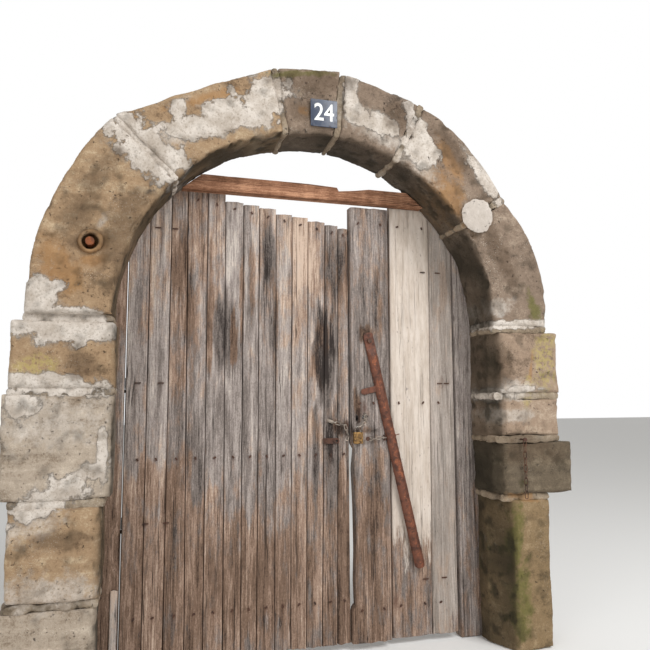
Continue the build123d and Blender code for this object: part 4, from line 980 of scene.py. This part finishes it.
def chain_parts(node):
    """Middles and turns of a chain's links by their size, and its bars, each with middle, axes and size."""
    links, bars = {}, []
    for island in node_islands(node):
        middle = island.mean(axis=0)
        _, axes = np.linalg.eigh(np.cov((island - middle).T))
        axes = axes[:, ::-1]
        if np.linalg.det(axes) < 0:
            axes[:, 2] = -axes[:, 2]
        reach = (island - middle) @ axes
        extents = reach.max(axis=0) - reach.min(axis=0)
        centre = middle + axes @ ((reach.max(axis=0) + reach.min(axis=0)) / 2)
        # A bar is round in section, where a link is much thinner than wide
        if extents[2] > 0.7 * extents[1]:
            bars.append((centre, axes, extents))
            continue
        turn = Matrix([list(row) for row in axes]).to_quaternion()
        size = tuple(round(float(value), 4) for value in extents)
        links.setdefault(size, []).append((centre, turn))
    if not links:
        raise RuntimeError(f"{node} has no links")
    return links, bars


# Sizes and colours that a user may change


class DoorStoneSettings(bpy.types.PropertyGroup):
    voxel: bpy.props.FloatProperty(
        name="Face size", description="Size of the faces of the dressed stones", default=0.0065, min=0.005,
        unit="LENGTH", subtype="DISTANCE")
    swell: bpy.props.FloatProperty(
        name="Unevenness", description="Depth of the slow unevenness of the stone faces", default=0.008,
        unit="LENGTH", subtype="DISTANCE")
    chip: bpy.props.FloatProperty(
        name="Chips", description="Depth of the chips and pecked hollows", default=0.006, unit="LENGTH",
        subtype="DISTANCE")
    smear: bpy.props.FloatProperty(
        name="Mortar smear", description="How far the pointing spreads over the edges of its joint", default=0.009,
        unit="LENGTH", subtype="DISTANCE")


class DoorWoodSettings(bpy.types.PropertyGroup):
    wear: bpy.props.FloatProperty(
        name="Grain depth", description="Depth of the weathered grain on the boards", default=0.0022,
        unit="LENGTH", subtype="DISTANCE")
    nibble: bpy.props.FloatProperty(
        name="Edge wear", description="Depth of the bites along the board edges", default=0.0035,
        unit="LENGTH", subtype="DISTANCE")
    hole: bpy.props.FloatProperty(
        name="Chain hole", description="Radius of the holes that the chains come through", default=0.0080,
        unit="LENGTH", subtype="DISTANCE")


class DoorIronSettings(bpy.types.PropertyGroup):
    pits: bpy.props.FloatProperty(
        name="Pits", description="Depth of the rust pits in the locking bar", default=0.0011, unit="LENGTH",
        subtype="DISTANCE")
    figures: bpy.props.StringProperty(
        name="House number", description="Figures on the number plate", default="24")
    figure_height: bpy.props.FloatProperty(
        name="Figure height", description="Height of the figures on the number plate",
        default=(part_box("number_plate")[1].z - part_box("number_plate")[0].z) * 0.62, unit="LENGTH",
        subtype="DISTANCE")


class DoorStageSettings(bpy.types.PropertyGroup):
    floor_color: bpy.props.FloatVectorProperty(
        name="Floor", description="Colour of the floor", default=(0.90, 0.90, 0.89), size=3, subtype="COLOR")
    sky: bpy.props.FloatProperty(
        name="Room light", description="Strength of the light from all round", default=0.48, subtype="FACTOR")
    key: bpy.props.FloatProperty(
        name="Main lamp", description="Power of the large soft lamp", default=250.0, unit="POWER")


SETTINGS = {
    "door_stone": DoorStoneSettings, "door_wood": DoorWoodSettings,
    "door_iron": DoorIronSettings, "door_stage": DoorStageSettings,
}


# One operator for each group of like pieces


class DOOR_OT_stones(bpy.types.Operator):
    """Dress the stones of the arch and the jambs."""

    bl_idname = "door.stones"
    bl_label = "Dressed stones"

    def execute(self, context):
        settings = context.scene.door_stone
        finishes = {name: make_stone(name, *look) for name, look in STONE_LOOKS.items()}
        low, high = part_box("iron_stub")
        stub = (low + high) / 2
        for number, node in enumerate(STONES):
            piece = remeshed(f"dressed_{node}", node, settings.voxel, smoothing=5)
            places, normals = read_points(piece.data)
            seed = 3.0 + number
            slow, depth = slow_swell(places, settings.swell)
            quick = rough_field(places, 19.0, 4, seed + 0.5)
            fine = rough_field(places, 75.0, 2, seed + 0.7)
            masks = patch_masks(places, normals, quick)
            depth += settings.chip * np.clip(quick - 0.10, 0.0, 1.0) + 0.0012 * (0.5 + 0.5 * fine)
            depth += hollowed(places, normals, quick, stub) + chipped_arris(places, quick)
            limed = np.clip((masks["lime"] - 0.4) / 0.25, 0.0, 1.0)
            depth = depth * (1.0 - 0.8 * limed) + 0.0012 * limed * (0.5 + 0.5 * quick)
            write_points(piece.data, places - normals * depth[:, None])
            for kind, mask in masks.items():
                paint(piece.data, kind, mask)
            paint(piece.data, "shade", stone_shade(places, normals, slow, quick))
            finish_piece(piece, finishes[SLOTS[node]], "surround", SLOTS[node], node)
        return {"FINISHED"}


class DOOR_OT_pointing(bpy.types.Operator):
    """Fill the joints with mortar."""

    bl_idname = "door.pointing"
    bl_label = "Pointing"

    def execute(self, context):
        settings = context.scene.door_stone
        material = make_stone("pointing_mortar", (186, 172, 154), (154, 138, 118), (112, 96, 78), 0.8, 0.0)
        piece = remeshed("pointing", "mortar_joints", voxel=0.005, smoothing=2)
        places, normals = read_points(piece.data)
        lumps = rough_field(places, 26.0, 4, 5.0)
        grit = rough_field(places, 110.0, 2, 6.0)
        _, sunk = slow_swell(places, settings.swell)
        sunk += 0.001 - 0.0015 * lumps
        rise = settings.smear * np.clip(0.7 + 0.8 * lumps, 0.0, 1.3) * (normals[:, 1] < 0.3)
        spread = normals * (rise + 0.0008 * grit)[:, None] * (1.0, 0.15, 1.0)
        spread[:, 1] += sunk * np.clip(-1.6 * normals[:, 1], 0.0, 1.0)
        write_points(piece.data, places + spread)
        for kind, mask in patch_masks(places, normals, lumps).items():
            paint(piece.data, kind, mask)
        # Painted shade in the dips of the mortar, where the lumps sink in
        paint(piece.data, "shade", np.clip(-lumps * 0.8, 0.0, 0.6))
        finish_piece(piece, material, "surround", "mortar", "mortar_joints")
        return {"FINISHED"}


class DOOR_OT_patch(bpy.types.Operator):
    """Trowel the round lime patch onto the right haunch."""

    bl_idname = "door.patch"
    bl_label = "Round mortar patch"

    def execute(self, context):
        low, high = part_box("mortar_patch")
        middle = (low + high) / 2
        sides, steps = 48, 14
        reach = (high.x - low.x) / 2
        skin = 0.0008
        rings = [[(middle.x, low.y + skin, middle.z)]]
        for step in range(1, steps + 1):
            share = step / steps
            ring = []
            for side in range(sides):
                turn = 2 * math.pi * side / sides
                way = Vector((math.cos(turn), 0.0, math.sin(turn)))
                rim = reach * (0.93 + 0.12 * noise.noise(way * 1.7) + 0.05 * noise.noise(way * 7.0))
                radius = min(rim, reach) * share
                crown = 1.0 - share ** 5
                lump = 0.0022 * half_noise(*(way * radius * 45.0))
                y = high.y - (high.y - low.y - skin) * crown + lump * crown
                ring.append((middle.x + way.x * radius, y, middle.z + way.z * radius))
            rings.append(ring)
        material = make_stone("patch_mortar", (214, 205, 196), (196, 186, 176), (160, 148, 134), 0.4, 0.0)
        piece = link_object("trowelled_patch", mesh_of(lofted(rings), "trowelled_patch", sharp_above=60))
        finish_piece(piece, material, "surround", "mortar", "mortar_patch")
        return {"FINISHED"}


class DOOR_OT_plate(bpy.types.Operator):
    """Enamel the number plate and set its figures."""

    bl_idname = "door.plate"
    bl_label = "Number plate"

    def execute(self, context):
        settings = context.scene.door_iron
        low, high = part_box("number_plate")
        mesh = bevelled("number_plate", "enamel_plate", (low.y,), offset=0.0011, segments=3, sharp_above=40)
        enamel = make_enamel("blue_enamel", (44, 56, 78), 0.64)
        finish_piece(link_object("enamel_plate", mesh), enamel, "surround", "enamel", "number_plate")
        curve = bpy.data.curves.new("plate_figures", "FONT")
        curve.body = settings.figures
        curve.size = settings.figure_height / FIGURE_SHARE
        curve.align_x = "CENTER"
        curve.align_y = "CENTER"
        curve.extrude = 0.0002
        curve.offset = 0.0012
        curve.resolution_u = 6
        text = link_object("plate_figures_outline", curve)
        graph = bpy.context.evaluated_depsgraph_get()
        figures = bpy.data.meshes.new_from_object(text.evaluated_get(graph))
        bpy.data.objects.remove(text)
        widest = max(abs(corner.co.x) for corner in figures.vertices) or 1.0
        narrow = min(1.0, FIGURE_REACH * (high.x - low.x) / widest)
        middle = (low + high) / 2
        figures.transform(Matrix.Diagonal((narrow, 1.0, 1.0, 1.0)))
        figures.transform(
            Matrix.Translation((middle.x, low.y - 0.0001, middle.z)) @ Matrix.Rotation(math.pi / 2, 4, "X")
        )
        figures.name = "plate_figures"
        white = make_enamel("white_enamel", (232, 234, 232), 0.70)
        finish_piece(link_object("plate_figures", figures), white, "surround", "enamel")
        return {"FINISHED"}


class DOOR_OT_left_boards(bpy.types.Operator):
    """Lay the thirteen boards of the left leaf."""

    bl_idname = "door.left_boards"
    bl_label = "Left leaf boards"

    def execute(self, context):
        settings = context.scene.door_wood
        material = board_finish()
        heads = nail_heads("left_nails")
        for number, node in enumerate(LEFT_BOARDS):
            seed = 1.0 + number * 1.7
            lay_board(node, "left_leaf", material, settings, settings.wear, seed, (0.014, 0.006), heads)
        return {"FINISHED"}


class DOOR_OT_right_boards(bpy.types.Operator):
    """Lay the three broad boards of the right leaf."""

    bl_idname = "door.right_boards"
    bl_label = "Right leaf boards"

    def execute(self, context):
        settings = context.scene.door_wood
        bare = board_finish()
        limewashed = make_wood("limewashed_board", paint=0.92)
        faded = make_wood("faded_board", paint=0.34)
        heads = nail_heads("right_nails")
        finishes = {
            "right_meeting_board": (bare, None), "right_painted_board": (limewashed, 0.24),
            "right_hanging_board": (faded, -0.10),
        }
        for number, node in enumerate(RIGHT_BOARDS):
            material, painted_above = finishes[node]
            seed = 31.0 + number * 1.3
            wear = settings.wear * 1.2
            lay_board(node, "right_leaf", material, settings, wear, seed, (0.012, 0.007), heads, painted_above)
        return {"FINISHED"}


class DOOR_OT_framing(bpy.types.Operator):
    """Set the posts, the wedged rail, the stop lath and the ledges behind the boards."""

    bl_idname = "door.framing"
    bl_label = "Posts, rail and ledges"

    def execute(self, context):
        settings = context.scene.door_wood
        upright = board_finish()
        lying = make_wood("lying_timber", along_x=True)
        reddish = make_wood("rail_timber", along_x=True, stain=(248, 212, 188))
        post_ends, rail_ends = (0.004, 0.010), (0.002, 0.002)
        pieces = (
            ("left_post", 2, upright, 1.4, post_ends, (0.48, 0.80, 0.90)),
            ("right_post", 2, upright, 1.4, post_ends, (0.58, 0.30, 0.40)),
            ("stop_lath", 2, upright, 1.4, post_ends, (0.98, 0.35, 0.35)),
            ("rail", 0, reddish, 2.4, rail_ends, (0.58, 1.00, 1.00)),
        )
        nibble = settings.nibble * 1.6
        for number, (node, axis, material, rough, torn, tones) in enumerate(pieces):
            seed = 51.0 + number * 2.1
            wear = settings.wear * rough
            piece = timber(f"timber_{node}", node, axis, wear, seed, torn, 0.008, nibble, FRAME_MEET)
            weather_wood(piece, *tones, seed)
            if node == "left_post":
                places, normals = read_points(piece.data)
                rot = np.clip(1.2 - ellipse_depth(places, *ROT_NOTCH), 0.0, 1.0)
                places[:, 1] += ROT_DEPTH * rot * (normals[:, 1] < 0.0)
                write_points(piece.data, places)
            finish_piece(piece, material, "surround", SLOTS[node], node)
        for nodes, body in ((LEFT_LEDGES, "left_leaf"), (RIGHT_LEDGES, "right_leaf")):
            for number, node in enumerate(nodes):
                seed = 71.0 + number * 1.9 + len(body)
                piece = timber(f"timber_{node}", node, 0, settings.wear, seed, (0.003, 0.003), 0.016, settings.nibble)
                weather_wood(piece, 0.52, 0.55, 0.70, seed)
                finish_piece(piece, lying, body, SLOTS[node], node)
        return {"FINISHED"}


class DOOR_OT_locking_bar(bpy.types.Operator):
    """Forge the pitted locking bar."""

    bl_idname = "door.locking_bar"
    bl_label = "Locking bar"

    def execute(self, context):
        settings = context.scene.door_iron
        piece = remeshed("forged_bar", "locking_bar", voxel=0.0022, smoothing=2)
        places, normals = read_points(piece.data)
        pits = rough_field(places, 90.0, 4, 2.0)
        waves = rough_field(places, 16.0, 2, 3.0)
        depth = settings.pits * (0.5 + 0.5 * pits) + settings.pits * 0.8 * np.clip(waves, 0.0, 1.0)
        write_points(piece.data, places - normals * depth[:, None])
        # The crown mask is a painted highlight along the front of the bar, plus patches of bloom from the waves
        ridge_sheen = np.clip(1.0 - (places[:, 1] - places[:, 1].min()) / 0.008, 0.0, 1.0)
        paint(piece.data, "crown", ridge_sheen + 0.6 * np.clip(waves, 0.0, 1.0))
        material = make_rust("bar_rust", (72, 44, 34), (112, 68, 50), (160, 92, 58), -0.12, 0.0010)
        finish_piece(piece, material, "locking_bar", "rusty_iron", "locking_bar")
        return {"FINISHED"}


class DOOR_OT_chains(bpy.types.Operator):
    """Hang the chains, each link laid where its CAD link is."""

    bl_idname = "door.chains"
    bl_label = "Chains"

    def execute(self, context):
        tree = link_tree()
        bright = make_rust("worn_chain", (72, 64, 58), (158, 146, 134), (222, 212, 198), 0.08, 0.0004)
        rusted = make_rust("rusted_chain", (58, 42, 34), (98, 68, 50), (140, 90, 58), -0.06, 0.0004)
        for node, body in CHAINS.items():
            material = rusted if body == "wall_chain" else bright
            links, bars = chain_parts(node)
            parts = []
            for number, (size, places) in enumerate(sorted(links.items())):
                centres, turns = zip(*places)
                parts.append(run_links(tree, f"{node}_links_{number}", centres, turns, *size, material))
            for centre, axes, extents in bars:
                parts.append(toggle(f"{node}_toggle", centre, axes, extents))
            piece = merge_meshes(f"forged_{node}", parts)
            finish_piece(piece, material, body, "rusty_iron", node)
        return {"FINISHED"}


class DOOR_OT_padlock(bpy.types.Operator):
    """Round the padlock's body and finish its shackle."""

    bl_idname = "door.padlock"
    bl_label = "Padlock"

    def execute(self, context):
        low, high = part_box("padlock_body")
        depths = (low.y, high.y)
        mesh = bevelled("padlock_body", "brass_padlock", depths, offset=0.0022, segments=4, sharp_above=35)
        brass = make_metal("old_brass", (158, 122, 72), (88, 66, 44), 0.46, 0.6)
        finish_piece(link_object("brass_padlock", mesh), brass, "right_leaf", "old_brass", "padlock_body")
        piece = remeshed("steel_shackle", "padlock_shackle", voxel=0.0006, smoothing=3)
        steel = make_metal("dull_steel", (146, 142, 136), (96, 74, 58), 0.45)
        finish_piece(piece, steel, "padlock_shackle", "shackle_steel", "padlock_shackle")
        return {"FINISHED"}


class DOOR_OT_ironwork(bpy.types.Operator):
    """Rust the nails, straps, pintles, staple, bolts and hasp."""

    bl_idname = "door.ironwork"
    bl_label = "Nails, straps and small iron"

    def execute(self, context):
        dark = make_rust("nail_rust", (48, 34, 28), (82, 52, 38), (132, 76, 44), -0.06, 0.0004)
        strap = make_rust("strap_rust", (52, 38, 31), (88, 60, 45), (136, 82, 54), -0.04, 0.0010)
        stub = make_rust("stub_rust", (78, 42, 24), (138, 76, 36), (188, 112, 52), 0.06, 0.0020)
        finishes = {
            "left_nails": dark, "right_nails": dark, "left_straps": strap, "right_straps": strap, "pintles": strap,
            "hasp": dark, "chain_fixings": dark, "bar_bolt": strap, "wall_nail": dark, "iron_stub": stub,
        }
        for node, material in finishes.items():
            mesh = frame["nodes"][node].data
            mesh.materials.clear()
            mesh.materials.append(material)
        return {"FINISHED"}


class DOOR_OT_stage(bpy.types.Operator):
    """Lay the pale floor, hang the soft lamps and set the camera."""

    bl_idname = "door.stage"
    bl_label = "Stage"

    def execute(self, context):
        settings = context.scene.door_stage
        scene = context.scene
        scene.view_settings.view_transform = "Standard"
        mesh = bpy.data.meshes.new("studio_floor")
        corners = [(x * FLOOR_REACH, y * FLOOR_REACH, 0) for x, y in ((-1, -1), (1, -1), (1, 1), (-1, 1))]
        mesh.from_pydata(corners, [], [(0, 1, 2, 3)])
        floor = link_object("studio_floor", mesh)
        material, tree, _ = new_material("pale_floor")
        coat_shader(tree, tuple(settings.floor_color) + (1.0,), Roughness=0.9, Specular_IOR_Level=0.1)
        mesh.materials.append(material)
        world = bpy.data.worlds.new("studio")
        world.use_nodes = True
        scene.world = world
        room = world.node_tree
        room.nodes.clear()
        seen = put(room, "ShaderNodeLightPath").outputs
        light = put(room, "ShaderNodeBackground", Color=(1.0, 0.985, 0.96, 1.0), Strength=settings.sky)
        white = put(room, "ShaderNodeBackground", Color=(1.0, 1.0, 1.0, 1.0), Strength=1.0)
        bent = sums(room, "MAXIMUM", seen["Is Glossy Ray"], seen["Is Transmission Ray"])
        shown = sums(room, "MAXIMUM", seen["Is Camera Ray"], bent)
        choice = put(room, "ShaderNodeMixShader", n0=shown, n1=light.outputs[0], n2=white.outputs[0])
        put(room, "ShaderNodeOutputWorld", n0=choice.outputs[0])
        for name, (spot, share) in LAMPS.items():
            lamp = bpy.data.lights.new(name, "AREA")
            lamp.energy = settings.key * share
            lamp.size = LAMP_SIZE
            holder = bpy.data.objects.new(name, lamp)
            scene.collection.objects.link(holder)
            holder.location = spot
            holder.rotation_euler = (Vector(LAMP_AIM) - Vector(spot)).to_track_quat("-Z", "Y").to_euler()
        eye = bpy.data.cameras.new("photo_camera")
        eye.lens = CAMERA_LENS
        eye.sensor_width = 36.0
        camera = bpy.data.objects.new("photo_camera", eye)
        scene.collection.objects.link(camera)
        camera.location = CAMERA_PLACE
        turns = ((CAMERA_YAW, "Z"), (90 + CAMERA_PITCH, "X"), (CAMERA_ROLL, "Z"))
        yaw, pitch, roll = (Matrix.Rotation(math.radians(angle), 4, axis) for angle, axis in turns)
        camera.rotation_euler = (yaw @ pitch @ roll).to_euler()
        scene.camera = camera
        return {"FINISHED"}


OPERATORS = (
    DOOR_OT_stones, DOOR_OT_pointing, DOOR_OT_patch, DOOR_OT_plate, DOOR_OT_left_boards, DOOR_OT_right_boards,
    DOOR_OT_framing, DOOR_OT_locking_bar, DOOR_OT_chains, DOOR_OT_padlock, DOOR_OT_ironwork, DOOR_OT_stage,
)


class DOOR_PT_pieces(bpy.types.Panel):
    """The settings and the operators, in the sidebar."""

    bl_idname = "DOOR_PT_pieces"
    bl_label = "Arched plank door"
    bl_space_type = "VIEW_3D"
    bl_region_type = "UI"
    bl_category = "Door"

    def draw(self, context):
        layout = self.layout
        for name, settings in SETTINGS.items():
            box = layout.box()
            for label in settings.__annotations__:
                box.prop(getattr(context.scene, name), label)
        for operator in OPERATORS:
            layout.operator(operator.bl_idname)


def register():
    for settings in SETTINGS.values():
        bpy.utils.register_class(settings)
    for name, settings in SETTINGS.items():
        setattr(bpy.types.Scene, name, bpy.props.PointerProperty(type=settings))
    for operator in OPERATORS:
        bpy.utils.register_class(operator)
    bpy.utils.register_class(DOOR_PT_pieces)


def unregister():
    bpy.utils.unregister_class(DOOR_PT_pieces)
    for operator in reversed(OPERATORS):
        bpy.utils.unregister_class(operator)
    for name, settings in SETTINGS.items():
        delattr(bpy.types.Scene, name)
        bpy.utils.unregister_class(settings)


def main():
    register()
    for operator in OPERATORS:
        area, name = operator.bl_idname.split(".")
        getattr(getattr(bpy.ops, area), name)()


if __name__ == "__main__":
    main()
